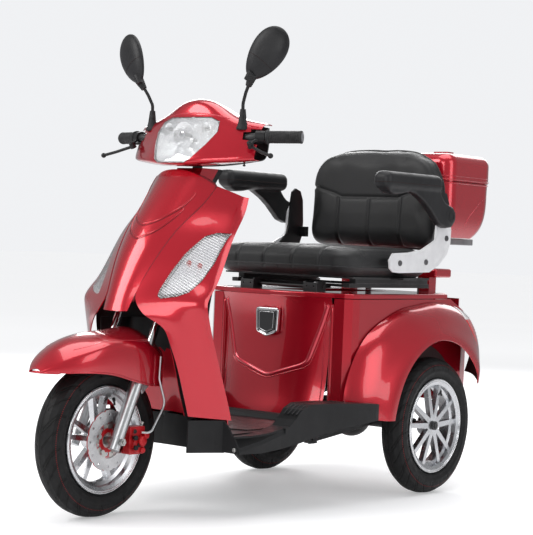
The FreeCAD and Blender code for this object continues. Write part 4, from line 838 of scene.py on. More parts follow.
def skin_of(node, name, voxel, rounds, material):
    """A softened skin of a CAD solid: remeshed finely and relaxed, so its joints flow together."""
    mesh = NODES[node].data.copy()
    obj = bpy.data.objects.new(name, mesh)
    COLLECTION.objects.link(obj)
    dress(obj, [material])
    bm = bmesh.new()
    bm.from_mesh(mesh)
    bmesh.ops.remove_doubles(bm, verts=bm.verts[:], dist=0.00002)
    bmesh.ops.holes_fill(bm, edges=[e for e in bm.edges if e.is_boundary], sides=0)
    bmesh.ops.recalc_face_normals(bm, faces=bm.faces[:])
    bm.to_mesh(mesh)
    bm.free()
    remesh = obj.modifiers.new("r", "REMESH")
    remesh.mode = "VOXEL"
    remesh.voxel_size = voxel
    smooth = obj.modifiers.new("s", "SMOOTH")
    smooth.factor = 0.6
    smooth.iterations = rounds
    depsgraph = bpy.context.evaluated_depsgraph_get()
    skin = bpy.data.meshes.new_from_object(obj.evaluated_get(depsgraph))
    obj.modifiers.clear()
    obj.data = skin
    shade_smooth(skin)
    return obj


# ------------------------------------------------------------------ seat and backrest
def swell(obj, rest, held):
    """Vertex places after the skin swells as pressurised cloth, with the held points pinned."""
    cloth = obj.modifiers.new("cloth", "CLOTH")
    settings = cloth.settings
    settings.quality = 5
    settings.mass = 0.25
    settings.use_pressure = True
    settings.uniform_pressure_force = 4.0
    settings.tension_stiffness = 12
    settings.compression_stiffness = 12
    settings.shear_stiffness = 6
    settings.bending_stiffness = 4.0
    settings.effector_weights.gravity = 0.0
    pins = obj.vertex_groups.new(name="hold")
    pins.add([i for i, place_ in enumerate(rest) if held(place_)], 1.0, "REPLACE")
    settings.vertex_group_mass = "hold"
    cloth.collision_settings.use_collision = False
    last_frame = 20
    scene = bpy.context.scene
    scene.frame_start, scene.frame_end = 1, last_frame
    cloth.point_cache.frame_start, cloth.point_cache.frame_end = 1, last_frame
    for number in range(1, last_frame + 1):
        scene.frame_set(number)
    evaluated = obj.evaluated_get(bpy.context.evaluated_depsgraph_get())
    swollen = np.array([v.co for v in evaluated.to_mesh().vertices])
    evaluated.to_mesh_clear()
    scene.frame_set(1)
    obj.modifiers.clear()
    obj.vertex_groups.clear()
    return swollen


def even_growth(obj, growth, cap):
    """Growth capped in length, then averaged with its neighbours."""
    length = np.linalg.norm(growth, axis=1, keepdims=True)
    growth = np.nan_to_num(growth * np.minimum(1.0, cap / np.maximum(length, 1e-9)))
    edges = np.zeros(len(obj.data.edges) * 2, np.int32)
    obj.data.edges.foreach_get("vertices", edges)
    edges = edges.reshape(-1, 2)
    degree = np.bincount(edges.ravel(), minlength=len(growth)).astype(float)[:, None]
    for _ in range(14):
        total = np.zeros_like(growth)
        np.add.at(total, edges[:, 0], growth[edges[:, 1]])
        np.add.at(total, edges[:, 1], growth[edges[:, 0]])
        growth = 0.4 * growth + 0.6 * total / np.maximum(degree, 1)
    return growth


def soften(node, name, cap, held):
    """The cover of a cushion: CAD block shrunk a little, swollen up to cap, then subdivided."""
    shrink = 0.0035
    obj = skin_of(node, name, voxel=0.006, rounds=3, material=LEATHER)
    rest = vertex_array(obj) - np.array([v.normal for v in obj.data.vertices]) * shrink
    write_vertices(obj, rest)
    places = rest
    swollen = swell(obj, rest, held)
    # growth only makes sense while the vertices still match
    if len(swollen) == len(rest):
        places = rest + even_growth(obj, swollen - rest, cap)
    write_vertices(obj, places)
    obj.data.update()
    bm = bmesh.new()
    bm.from_mesh(obj.data)
    bmesh.ops.subdivide_edges(bm, edges=bm.edges[:], cuts=1, use_grid_fill=True, smooth=0.0)
    bm.to_mesh(obj.data)
    bm.free()
    shade_smooth(obj.data)
    obj.data.update()
    return obj


def sculpt_arrays(obj):
    """Places, normals and x, y, z. x and z are views that follow later moves; y is a copy."""
    places = vertex_array(obj)
    normals = np.array([v.normal for v in obj.data.vertices])
    return places, normals, places[:, 0], places[:, 1] - OY, places[:, 2]


def bell(distance, width):
    return np.exp(-(distance / width) ** 2)


def stitch(name, run, tree, direction):
    """Short thread dashes along a run laid on the cover."""
    dash, gap, step, longest_jump = 0.0042, 0.0026, 0.0006, 0.02
    points = onto(tree, run, direction, lift=0.0002)
    runs, travelled, current, sewing = [], 0.0, [], True
    for a, b in zip(points, points[1:]):
        length = (b - a).length
        if length > longest_jump:
            current, travelled, sewing = [], 0.0, True
            continue
        steps = max(1, int(length / step))
        for i in range(steps):
            if sewing:
                current.append(a.lerp(b, i / steps))
            travelled += length / steps
            if sewing and travelled > dash:
                if len(current) > 2:
                    runs.append([current[0], current[len(current) // 2], current[-1]])
                current, travelled, sewing = [], 0.0, False
            elif not sewing and travelled > gap:
                travelled, sewing = 0.0, True
    if runs:
        cords(name, runs, THREAD, "seat", "seat_leather", radius=0.00055, seg=5)


SEAT_FRONT, SEAT_DEPTH = 166, 482          # mm
SEAT_CHANNELS = (-150, -52, 52, 150)       # x of the lengthwise channels, mm


def front_seam_y(x):
    return 236 + 30 * (x / 250) ** 2


def channel_x(x, share):
    """A lengthwise channel bows outwards halfway along the seat."""
    return x * (1 + 0.06 * np.sin(np.pi * share))


def seat_cushion():
    """Crowned top, tucked lower edge, lengthwise channels and a front seam."""
    cover = soften("seat_cushion", "seat_cushion_cover", cap=0.013, held=lambda c: c[2] < 0.6425)
    places, normals, x, y, z = sculpt_arrays(cover)
    top = np.clip((z - 0.685) / 0.03, 0, 1)
    low = np.clip((0.672 - z) / 0.03, 0, 1)
    out = np.clip(np.abs(x) / 0.27, 0, 1)
    share = np.clip((y - SEAT_FRONT / 1000) / (SEAT_DEPTH / 1000), 0, 1)
    crown, nose_drop, tuck = 0.006, 0.006, 0.010
    places[:, 2] += top * (crown * (1 - out ** 2) * np.sin(np.pi * share)
                           - nose_drop * np.clip((0.11 - share) / 0.11, 0, 1))
    places[:, 0] -= np.sign(x) * low * tuck
    places[:, 1] += np.where(share < 0.5, 1, -1) * low * tuck

    from_seam = np.abs(y - front_seam_y(x * 1000) / 1000)
    groove = 0.0042 * bell(from_seam, 0.0048) * top * (out < 0.93)
    upper = np.clip((z - 0.655) / 0.02, 0, 1)
    for channel in SEAT_CHANNELS:
        from_channel = np.abs(x - channel_x(channel / 1000, share))
        groove = np.maximum(groove, 0.0038 * bell(from_channel, 0.0045) * upper * (y < 0.60))
    from_side = np.abs(np.abs(x) - 0.222)
    groove = np.maximum(groove, 0.0030 * bell(from_side, 0.0045) * top * (y > 0.25))
    places -= normals * groove[:, None]
    places[:, 2] = np.maximum(places[:, 2], 0.6397)
    places[:, 1] = np.minimum(places[:, 1], 0.650 + OY)
    write_vertices(cover, places)
    cover.data.update()
    place(cover, "seat", "seat_cushion")

    tree = surface_tree(cover)
    for name, offset in (("a", -6.5), ("b", 6.5)):
        run = [pos(x, front_seam_y(x) + offset, 800) for x in range(-228, 229, 4)]
        stitch("seat_stitch_front_" + name, run, tree, DOWN)
    for i, channel in enumerate(SEAT_CHANNELS):
        for name, offset in (("a", -6.0), ("b", 6.0)):
            run = [pos(channel_x(channel, (y - SEAT_FRONT) / SEAT_DEPTH) + offset, y, 800)
                   for y in range(248, 598, 4)]
            stitch("seat_stitch_%d%s" % (i, name), run, tree, DOWN)

    # piping round the lower edge of the cushion
    middle = pos(0, 407, 668)
    rays = []
    for k in range(96):
        angle = 2 * math.pi * k / 96
        inward = Vector((-math.cos(angle), -math.sin(angle) * 0.9, 0)).normalized()
        rays.append((middle - inward * 0.6, inward))
    cord("seat_piping", ray_hits(tree, rays, lift=0.0002), PIPING, "seat", "seat_leather",
         radius=0.0028, closed=True)


# half outline of the backrest from top middle to bottom middle: x, z in mm
BACK_OUTLINE = [
    (0, 1040), (60, 1040), (115, 1037), (165, 1026), (205, 1002), (232, 963), (244, 920),
    (247, 870), (247, 825), (245, 785), (237, 752), (221, 731), (195, 721), (150, 718.5),
    (75, 718.2), (0, 718.2)]
BACK_CHANNELS = (-118, 0, 118)             # x of the lower channels, mm


def back_seam_z(x):
    """Height of the cross seam, flat in the middle and rising outwards."""
    return 884 + 29 * np.clip((abs(x) - 108) / 100, 0, 1) ** 0.8


def backrest():
    """Smooth upper panel, swollen lower panel with sewn channels, piping round the edge."""
    cover = soften("backrest_cushion", "backrest_cover", cap=0.011,
                   held=lambda c: c[1] > 0.712 + OY)
    places, normals, x, y, z = sculpt_arrays(cover)
    front = np.clip((0.690 - y) / 0.030, 0, 1)
    seam = back_seam_z(x * 1000) / 1000
    lower = np.clip((seam - z) / 0.015, 0, 1)
    places[:, 1] -= front * lower * 0.005 * np.sin(np.pi * np.clip((z - 0.73) / 0.16, 0, 1))
    groove = 0.0050 * bell(np.abs(z - seam), 0.0048) * front
    for channel in BACK_CHANNELS:
        from_channel = np.abs(x - channel / 1000)
        groove = np.maximum(groove, 0.0046 * bell(from_channel, 0.0050) * front * (z < 0.886))
    places -= normals * groove[:, None]
    places[:, 1] = np.maximum(places[:, 1], 0.636 + OY)
    write_vertices(cover, places)
    cover.data.update()
    place(cover, "seat", "backrest_cushion")

    tree = surface_tree(cover)
    offset = 5.5
    for name, rise in (("a", offset), ("b", -offset)):
        run = [pos(x, 500, back_seam_z(x) + rise) for x in range(-232, 233, 4)]
        stitch("back_stitch_seam_" + name, run, tree, TO_REAR)
    for i, channel in enumerate(BACK_CHANNELS):
        run = [pos(channel + offset, 500, z) for z in range(742, 878, 4)]
        stitch("back_stitch_%d" % i, run, tree, TO_REAR)

    outline = BACK_OUTLINE + [(-x, z) for x, z in reversed(BACK_OUTLINE[1:-1])]
    middle = pos(0, 700, 880)
    rays = []
    for point in spline([pos(x, 700, z) for x, z in outline], steps=4, closed=True):
        inward = (middle - point).normalized()
        rays.append((point - inward * 0.1, inward))
    cord("backrest_piping", ray_hits(tree, rays), PIPING, "seat", "seat_leather",
         radius=0.0030, closed=True)


def armrests():
    """Each armrest as one moulded skin, with a parting line and a ring on the pivot cap."""
    for side, name in SIDES:
        body = "arm_" + name[0]
        skin = skin_of("armrest_" + name, "armrest_skin_" + name, voxel=0.0032, rounds=7,
                       material=FOAM)
        place(skin, body, "armrest_" + name)
        middle = pos(side * 292, 422, 917)
        rays = []
        for k in range(72):
            angle = 2 * math.pi * k / 72
            out = Vector((math.cos(angle) * 0.05, math.sin(angle) * 0.20, 0))
            rays.append((middle + out, (-out).normalized()))
        cord("armrest_parting_" + name, ray_hits(surface_tree(skin), rays), GAP, body,
             "arm_black", radius=0.0011, closed=True, seg=6)
        ring = circle_yz(pos(side * 319.2, 622, 830), radius=0.013, count=40)
        cord("armrest_cap_ring_" + name, ring, BLACK, body, "arm_black", radius=0.0011,
             closed=True, seg=6)


# ------------------------------------------------------------------ grips
def grip_profile():
    """Inner flange, ribbed sleeve and end collar: share of the length, radius in metres."""
    profile = [(0.0, 11.3), (0.0, 19.0), (0.012, 19.7), (0.055, 19.7), (0.075, 18.0),
               (0.085, 16.4)]
    share, rib_pitch = 0.10, 0.048
    while share < 0.93:
        profile += [(share, 15.9), (share + 0.006, 16.9), (share + 0.028, 16.9),
                    (share + 0.034, 15.9)]
        share += rib_pitch
    profile += [(0.945, 16.4), (0.955, 17.4), (0.985, 17.4), (1.0, 16.6), (1.0, 12.5)]
    return [(share, radius / 1000.0) for share, radius in profile]


def grip_wave(angle, share):
    """Slanting shallow cuts over the ribbed part."""
    cut = 0.1 < share < 0.93 and math.sin(angle * 9 + share * 20) > 0.62
    return 1.0 - (0.028 if cut else 0.0)


def grips():
    inner, outer = Vector((229, -188, 1010)), Vector((321, -149.67, 1011.92))
    along = (outer - inner).normalized()
    inner, outer = inner + along * 4, outer + along * 3
    cap_profile = [(0, 0.0098), (0, 0.0128), (0.6, 0.0130), (0.9, 0.0118), (1.0, 0.006),
                   (0.7, 0.003)]
    for (side, name), body, node in zip(SIDES, ("steering", "throttle"),
                                        ("grip_left", "throttle_grip")):
        start = pos(side * inner.x, inner.y, inner.z)
        end = pos(side * outer.x, outer.y, outer.z)
        grip = lathe("grip_rubber_" + name, start, end, grip_profile(), RUBBER, body,
                     seg=72, wave=grip_wave)
        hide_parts(node)
        out = (end - start).normalized()
        lathe("grip_cap_" + name, end - out * 0.0015, end + out * 0.0022, cap_profile, GREY,
              body)


# ------------------------------------------------------------------ headlight
# lens outline: x, z in mm
HEAD_OUTLINE = mirrored([(46, 934), (62, 943), (90, 985), (107, 1022), (99, 1050), (70, 1062)])
HEAD_Z = 1000      # middle height that the outline is scaled about, mm


def headlight_bucket(tree, centre_y):
    """Faceted chrome bucket behind the lens."""
    seg = 48
    outer, inner = 0.965, 0.30
    # share of the lens outline, depth behind the lens in metres
    levels = [(outer, 0.006), (0.90, 0.012), (0.78, 0.022), (0.62, 0.034), (0.45, 0.046),
              (inner, 0.054)]
    outline = resample(HEAD_OUTLINE, step=3.0)
    rim = [outline[int(i * len(outline) / seg)] for i in range(seg)]
    rim_y = []
    for x, z in rim:
        hit = onto(tree, [pos(x * 0.955, -400, HEAD_Z + (z - HEAD_Z) * 0.955)], TO_REAR)
        rim_y.append(hit[0].y if hit else centre_y)
    verts = []
    for factor, depth in levels:
        share = (factor - inner) / 0.665
        for (x, z), lens_y in zip(rim, rim_y):
            vertex = pos(x * factor, 0, HEAD_Z + (z - HEAD_Z) * factor)
            vertex.y = lens_y * share + (centre_y + 0.006) * (1 - share) + depth
            verts.append(vertex)
    faces = ring_quads(len(levels), seg) + [ring_cap(len(levels) - 1, seg)]
    piece("headlight_bucket", verts, faces, REFLECT_GLOW, "steering", smooth=False)


def lamp_bowl(name, x, y, z, radius, depth):
    """Round reflector opening towards the front."""
    seg, rings = 28, 7
    verts = []
    for i in range(rings):
        share = i / (rings - 1)
        ring_radius = radius * math.sqrt(1 - share * 0.96)
        for j in range(seg):
            angle = 2 * math.pi * j / seg
            verts.append(Vector((x + ring_radius * math.cos(angle), y + depth * share,
                                 z + ring_radius * math.sin(angle))))
    faces = ring_quads(rings, seg) + [ring_cap(rings - 1, seg)]
    piece(name, verts, faces, REFLECT_GLOW, "steering", smooth=False)


def headlight():
    tree = surface_tree("headlight_lens")
    lens_y = onto(tree, [pos(0, -400, HEAD_Z)], TO_REAR)[0].y
    headlight_bucket(tree, lens_y)
    main_z, side_x, side_z = 1.012, 0.066, 1.030
    lamp_bowl("headlight_main_bowl", 0, lens_y + 0.020, main_z, radius=0.036, depth=0.030)
    lamp_bowl("headlight_low_bowl", 0, lens_y + 0.008, 0.958, radius=0.020, depth=0.020)
    lathe("headlight_main_bulb", (0, lens_y + 0.046, main_z), (0, lens_y + 0.016, main_z),
          [(0, 0.0065), (0.4, 0.0072), (0.8, 0.0072), (1.0, 0.004), (1.0, 0.001)],
          BULB, "steering", seg=24)
    lathe("headlight_main_shade", (0, lens_y + 0.018, main_z), (0, lens_y + 0.012, main_z),
          [(0, 0.0085), (0.2, 0.0098), (0.8, 0.0098), (1.0, 0.0085), (0.8, 0.002)],
          CHROME, "steering", seg=24)
    for side, name in reversed(SIDES):
        x = side * side_x
        lamp_bowl("headlight_side_bowl_" + name[0], x, lens_y + 0.034, side_z,
                  radius=0.016, depth=0.018)
        lathe("headlight_side_bulb_" + name[0], (x, lens_y + 0.050, side_z),
              (x, lens_y + 0.034, side_z), [(0, 0.0045), (0.5, 0.005), (0.9, 0.0035), (1.0, 0.001)],
              BULB, "steering", seg=20)
    housing = surface_tree("headlight_housing", "headlight_lens")
    brow = [pos(x, -400, 1074 - 16 * (abs(x) / 125.0) ** 2) for x in range(-125, 126, 5)]
    # The brow line is a painted highlight in the lighter red.
    cord("headlight_brow", onto(housing, brow, TO_REAR, lift=-0.0006), RED_HIGHLIGHT, "steering",
         "red_body", radius=0.0018)


# ------------------------------------------------------------------ handlebar parts
def mirror_boots():
    """Pleated boots on the mirror necks and plain boots at the feet of the stalks."""
    housing = surface_tree("headlight_housing", "headlight_lens")
    neck = Vector((14, -5, 22)).normalized()
    pleats = 7
    neck_profile = [(0, 0.0056)]
    for i in range(pleats):
        share = i / pleats
        radius = 0.0080 + 0.0066 * share
        neck_profile += [(share + 0.01, radius), (share + 0.09, radius + 0.0013),
                         (share + 0.125, radius)]
    neck_profile += [(1.0, 0.0142), (1.0, 0.007)]
    stalk_profile = [(0, 0.0120), (0, 0.0165), (0.10, 0.0168), (0.22, 0.0140), (0.45, 0.0112),
                     (0.9, 0.0088), (1.0, 0.0076), (1.0, 0.005)]
    for side, name in SIDES:
        along = Vector((side * neck.x, neck.y, neck.z))
        base = pos(side * 189, -217, 1147)
        lathe("mirror_neck_boot_" + name, base - along * 0.003, base + along * 0.036,
              neck_profile, RUBBER, "mirror_" + name[0], seg=32)
        top = pos(side * 163, -205, 1078)
        hit = housing.ray_cast(pos(side * 160, -205, 1200), Vector(DOWN))[0]
        foot_z = max(hit.z, 1.030) - 0.002 if hit is not None else 1.040
        foot = Vector((top.x, top.y, min(foot_z, 1.056)))
        lathe("mirror_stalk_boot_" + name, foot, top, stalk_profile, RUBBER, "steering",
              seg=36)


def mirror_partings():
    tilt = math.radians(35.5)
    for side, name in SIDES:
        up = Vector((side * math.sin(tilt), 0, math.cos(tilt)))
        across = Vector((math.cos(tilt), 0, -math.sin(tilt) * side))
        start = mirror_centre(side) - up * 0.022
        run = [start + across * (i / 1000.0) + up * 0.006 * math.cos(i / 26.0)
               for i in range(-46, 47, 3)]
        cord("mirror_parting_" + name, onto(surface_tree("mirror_" + name), run, TO_REAR), GAP,
             "mirror_" + name[0], "black_plastic", radius=0.0007, seg=6)


def bar_controls():
    """Brake cable stubs and a toggle under the left pod."""
    cable = [(205, -222, 990), (190, -208, 996), (172, -196, 998), (150, -186, 996)]
    for side, name in SIDES:
        cord("brake_cable_" + name, spline([pos(side * x, y, z) for x, y, z in cable]), RUBBER,
             "steering", "black_plastic", radius=0.0026)
    lathe("toggle_switch", pos(176, -206, 944), pos(178, -209, 931),
          [(0, 0.003), (0.2, 0.0028), (0.7, 0.0022), (0.85, 0.0042), (1.0, 0.0035), (1.0, 0.001)],
          BLACK, "steering", seg=20)


# ------------------------------------------------------------------ apron trim
# +X halves of the two chevrons: x, z in mm
CHEVRONS = [
    [(0, 767), (16, 770), (40, 781), (62, 801), (74, 818), (81, 838), (84, 855)],
    [(0, 731), (18, 736), (42, 749), (60, 769), (72, 792), (78, 812)],
]
# turn lamp outline on the left: x, z in mm
LAMP_OUTLINE = [
    (190, 747), (168, 748), (150, 738), (128, 690), (113, 640), (104, 598), (104, 580),
    (114, 573), (150, 580), (172, 592), (183, 620), (190, 668)]


def apron_chevrons():
    tree = surface_tree("apron_center_panel", "apron_side_left", "apron_side_right")
    for i, half in enumerate(CHEVRONS):
        run = spline([pos(x, -500, z) for x, z in mirrored(half)])
        cord("apron_chevron_%d" % i, onto(tree, run, TO_REAR, lift=-0.0016), RED, "chassis",
             "red_body", radius=0.0034, seg=14)
        below = [p - Vector((0, 0, 0.0058)) for p in run]
        cord("apron_chevron_shade_%d" % i, onto(tree, below, TO_REAR, lift=0.0001), SHADE_RED,
             "chassis", "red_body", radius=0.0011, seg=6)


def apron_seams():
    """Painted shade: dark cords just behind the side edges of the centre panel, where the seams
    fall in shade.
    """
    tree = surface_tree("apron_center_panel")
    for side, name in SIDES:
        points = []
        for z in range(560, 908, 6):
            row = ray_hits(tree, [(pos(side * x, -620, z), Vector(TO_REAR))
                                  for x in range(20, 130)])
            if row:
                points.append(row[-1] + Vector((side * 0.0012, 0.0052, 0)))
        # too short a seam gets no shade cord
        if len(points) > 8:
            cord("apron_seam_painted_shade_" + name[0], relax(points, 2), SHADE_RED, "chassis",
                 "red_body", radius=0.0042, seg=10)


def turn_lamps():
    tree = surface_tree("apron_side_left", "apron_side_right", "turn_signals")
    mid_x, mid_z = 147, 660
    bulbs = ((140, 668), (163, 662))
    studs = ((118, 590), (130, 588), (142, 592), (154, 598), (165, 606))
    for side, name in SIDES:
        edge = [pos(side * (mid_x + (x - mid_x) * 1.012), -620, mid_z + (z - mid_z) * 1.008)
                for x, z in resample(LAMP_OUTLINE, 4)]
        cord("turn_gasket_" + name[0], relax(onto(tree, edge, TO_REAR), 3, closed=True), GASKET,
             "chassis", "black_plastic", radius=0.0011, closed=True, seg=6)
        for i, (x, z) in enumerate(bulbs):
            for tip in onto(tree, [pos(side * x, -620, z)], TO_REAR, lift=-0.004):
                lathe("turn_bulb_%s_%d" % (name[0], i), tip + Vector((0, 0.010, 0)), tip,
                      [(0, 0.0060), (0.5, 0.0085), (0.9, 0.006), (1.0, 0.001)],
                      BULB_RED, "chassis", seg=20)
        tips = onto(tree, [pos(side * x, -620, z) for x, z in studs], TO_REAR, lift=-0.0045)
        for i, tip in enumerate(tips):
            lathe("turn_stud_%s_%d" % (name[0], i), tip + Vector((0, 0.002, 0)), tip,
                  [(0, 0.0012), (0.6, 0.0014), (1.0, 0.0008)],
                  BLACK, "chassis", seg=10)


# ------------------------------------------------------------------ seat box front
BOX_V = mirrored([(0, 345), (14, 347), (118, 380), (133, 391), (188, 560)])   # x, z in mm
LATCH_OUTLINE = [(-33, 533), (33, 533), (30, 474), (0, 463), (-30, 474)]      # x, z in mm


def seat_box_front():
    """V moulding, upright flutes, and chrome lines round and on the latch."""
    tree = surface_tree("seat_box_front")

    def front_line(outline, lift):
        points = [pos(x, 0, z) for x, z in resample(outline, 5.0, closed=False)]
        return relax(onto(tree, points, TO_REAR, lift), 3)

    outer = [(x * 1.055, z - 9 if z < 500 else z) for x, z in BOX_V]
    # The V moulding is coloured in the lighter red as a painted highlight.
    cord("box_front_moulding", front_line(BOX_V, lift=-0.0058), RED_HIGHLIGHT, "chassis", "red_body",
         radius=0.0088, seg=16)
    cord("box_front_moulding_outer", front_line(outer, lift=-0.0008), RED, "chassis",
         "red_body", radius=0.0022, seg=10)
    # The upright flutes are painted highlight lines in the lighter red.
    for side, name in SIDES:
        run = onto(tree, [pos(side * 178, 0, z) for z in range(262, 572, 8)], TO_REAR,
                   lift=-0.0010)
        cord("box_front_flute_" + name[0], run, RED_HIGHLIGHT, "chassis", "red_body", radius=0.0022)
    # The second corner cord, in the lighter red, is a painted highlight line.
    # x, y in mm, radius in metres, material
    corners = ((199, 196.5, 0.0070, RED), (207, 203, 0.0055, RED_HIGHLIGHT))
    for side, name in SIDES:
        for i, (x, y, radius, material) in enumerate(corners):
            cord("box_corner_flute_%s_%d" % (name[0], i),
                 [pos(side * x, y, z) for z in range(238, 574, 14)], material, "chassis",
                 "red_body", radius=radius, seg=18)

    middle = 500
    around = [pos(x * 1.17, 147.4, middle + (z - middle) * 1.13)
              for x, z in resample(LATCH_OUTLINE, 4)]
    cord("latch_frame", relax(around, 2, closed=True), CHROME, "chassis", "chrome",
         radius=0.0032, closed=True, seg=10)
    inlay = [pos(x * 0.80, 60, middle + (z - middle) * 0.82)
             for x, z in resample(LATCH_OUTLINE, 3)]
    inlay = onto(surface_tree("latch_paddle"), inlay, TO_REAR)
    cord("latch_inlay", relax(inlay, 2, closed=True), CHROME, "latch", "black_gloss",
         radius=0.0007, closed=True, seg=6)


# ------------------------------------------------------------------ rear arches
# arch lip round the rear axle: angle up from straight ahead in radians, radius in mm
ARCH_LIP = [(.11, 236), (.35, 234), (.73, 239), (1.10, 246), (1.53, 256), (2.00, 261),
            (2.45, 264), (2.56, 262.5), (2.64, 245)]
# wrap-round tail lens on the left fender: x, y in mm
TAIL_OUTLINE = [(266, 736), (300, 744), (322, 768), (326, 800), (300, 806), (266, 800)]


def arch_point(x, radius, angle, lowest):
    return pos(x, AXLE_Y - radius * math.cos(angle),
               max(lowest, AXLE_Z + radius * math.sin(angle)))


def arch_lip(side, name):
    angles, radii = zip(*ARCH_LIP)
    points = []
    for i in range(60):
        angle = 0.115 + (2.63 - 0.115) * i / 59.0
        radius = np.interp(angle, angles, radii) + 0.5
        points.append(arch_point(side * 346.2, radius, angle, lowest=232))
    cord("arch_lip_" + name, points, RED, "chassis", "red_body", radius=0.0023, seg=10)


def wheelhouse_painted_shade(side, name):
    """Painted shade: a dark red sheet on the body side, inside the arch."""
    steps = 40
    row = steps + 1
    verts = [arch_point(side * 263.2, radius, 0.12 + (2.62 - 0.12) * i / steps, lowest=236)
             for radius in (150, 196, 243) for i in range(row)]
    faces = []
    for j in range(2):
        for i in range(steps):
            here, there = j * row + i, (j + 1) * row + i
            quad = (here, here + 1, there + 1, there)
            faces.append(quad if side > 0 else quad[::-1])
    piece("wheelhouse_painted_shade_" + name, verts, faces, ARCH, "chassis")


def tail_lens_wrap(side, name):
    """Part of the tail lamp lens that wraps onto the fender."""
    tree = surface_tree("rear_fender_" + name)
    outline = relax([pos(side * x, y, 900) for x, y in resample(TAIL_OUTLINE, 4)], 4, closed=True)
    middle = sum(outline, Vector()) / len(outline)
    factors = (1.0, 0.97, 0.7, 0.4, 0.1)
    verts = []
    for factor in factors:
        for point in outline:
            above = Vector((middle.x + (point.x - middle.x) * factor,
                            middle.y + (point.y - middle.y) * factor, 0.9))
            hit = tree.ray_cast(above, Vector(DOWN))[0]
            # the lens is left out where the fender does not reach under all of it
            if hit is None or hit.z < 0.42:
                return
            verts.append(hit + Vector((0, 0, 0.0002 if factor == 1.0 else 0.0022)))
    seg = len(outline)
    faces = ring_quads(len(factors), seg) + [ring_cap(len(factors) - 1, seg)]
    if side < 0:
        faces = [face[::-1] for face in faces]
    piece("tail_lens_wrap_" + name, verts, faces, TAIL, "chassis")


def rear_arches():
    for side, name in SIDES:
        arch_lip(side, name)
        wheelhouse_painted_shade(side, name)
        tail_lens_wrap(side, name)


# ------------------------------------------------------------------ trunk
def trunk_loop(z, tree):
    """Outline of the trunk at one height."""
    middle = pos(0, 926, z)
    rays = []
    for k in range(90):
        angle = 2 * math.pi * k / 90
        out = Vector((math.cos(angle), math.sin(angle) * 0.8, 0)).normalized()
        rays.append((middle + out * 0.5, -out))
    return ray_hits(tree, rays)


def trunk_lines():
    base, lid = surface_tree("trunk_base"), surface_tree("trunk_lid")
    for name, z, tree, radius, material, body in (
            ("low", 940, base, 0.0022, RED, "chassis"),
            ("up", 951, lid, 0.0024, RED, "lid"),
            # The top band is a painted highlight line in the lighter red.
            ("top", 962, lid, 0.0013, RED_HIGHLIGHT, "lid")):
        cord("trunk_band_" + name, trunk_loop(z, tree), material, body, "red_body",
             radius=radius, closed=True)
    # embossed side curve: y, z in mm
    curve = ((904, 807), (921, 832), (946, 854), (978, 880), (1008, 897), (1030, 906))
    # The emboss and lid lines are painted highlight lines in the lighter red.
    for side, name in SIDES:
        run = spline([pos(side * 300, y, z) for y, z in curve])
        cord("trunk_emboss_" + name[0], onto(base, run, (-side, 0, 0), lift=-0.0002), RED_HIGHLIGHT,
             "chassis", "red_body", radius=0.0010, seg=6)
        run = [pos(side * 128, y, 1100) for y in range(800, 1052, 6)]
        cord("trunk_lid_line_" + name[0], onto(lid, run, DOWN, lift=-0.0004), RED_HIGHLIGHT, "lid",
             "red_body", radius=0.0010, seg=6)


# ------------------------------------------------------------------ front fender and brake
# side lines: y, z in mm
FENDER_CREASE = [(-700, 440), (-650, 452), (-600, 462), (-550, 464), (-500, 462), (-450, 456),
                 (-415, 448)]
FENDER_EDGE = [(-720, 386.5), (-677, 386), (-622, 383), (-578, 377), (-532, 365), (-490, 355),
               (-455, 348), (-425, 345)]


def front_fender():
    tree = surface_tree("front_fender")
    for side, name in SIDES:
        for title, line, lift, radius, material in (
                # The crease is a painted highlight line in the lighter red.
                ("crease", FENDER_CREASE, -0.0004, 0.0012, RED_HIGHLIGHT),
                ("edge", FENDER_EDGE, 0.0, 0.0016, RED)):
            run = spline([pos(side * 200, y, z) for y, z in line])
            run = onto(tree, run, (-side, 0, 0), lift)
            # a line that mostly misses the fender is left out
            if len(run) > 4:
                cord("fender_%s_%s" % (title, name[0]), run, material, "fork_lower",
                     "red_body", radius=radius)
    rays = [(pos(x, -1000, 387.5), Vector(TO_REAR)) for x in range(-52, 53, 4)]
    nose = [hit + Vector((0, 0.0022, -0.0035)) for hit in ray_hits(tree, rays)
            if hit.y < -0.60 + OY]
    # the lip needs enough of the nose edge to follow
    if len(nose) > 6:
        cord("fender_nose_lip", relax(nose, 3), RED, "fork_lower", "red_body",
             radius=0.0034, seg=12)


def caliper_castings():
    """Cylinder bosses, pad pins and bleed nipple."""
    pin = [(0, 0.0050), (0.5, 0.0050), (0.55, 0.0068), (1.0, 0.0062), (0.7, 0.003)]
    # name, start and end in mm, profile, material
    for name, start, end, profile, material in (
            ("boss_a", (84, -470, 200), (93, -470, 200),
             [(0, 0.014), (0.7, 0.0135), (1.0, 0.0115), (0.98, 0.004)], RED_METAL),
            ("boss_b", (80, -452, 214), (89, -452, 214),
             [(0, 0.0095), (0.8, 0.0090), (1.0, 0.0070), (0.9, 0.003)], RED_METAL),
            ("boss_c", (80, -466, 176), (90, -466, 176),
             [(0, 0.0085), (0.8, 0.0080), (1.0, 0.0060), (0.9, 0.003)], RED_METAL),
            ("pin_a", (80, -496, 210), (91, -496, 210), pin, BLACK),
            ("pin_b", (80, -494, 184), (91, -494, 184), pin, BLACK),
            ("nipple", (70, -458, 232), (70, -452, 248),
             [(0, 0.0052), (0.4, 0.0052), (0.42, 0.0032), (0.8, 0.0030), (0.85, 0.0042),
              (1.0, 0.0036), (1.0, 0.001)], ZINC)):
        lathe("caliper_" + name, pos(*start), pos(*end), profile, material, "fork_lower",
              seg=28)


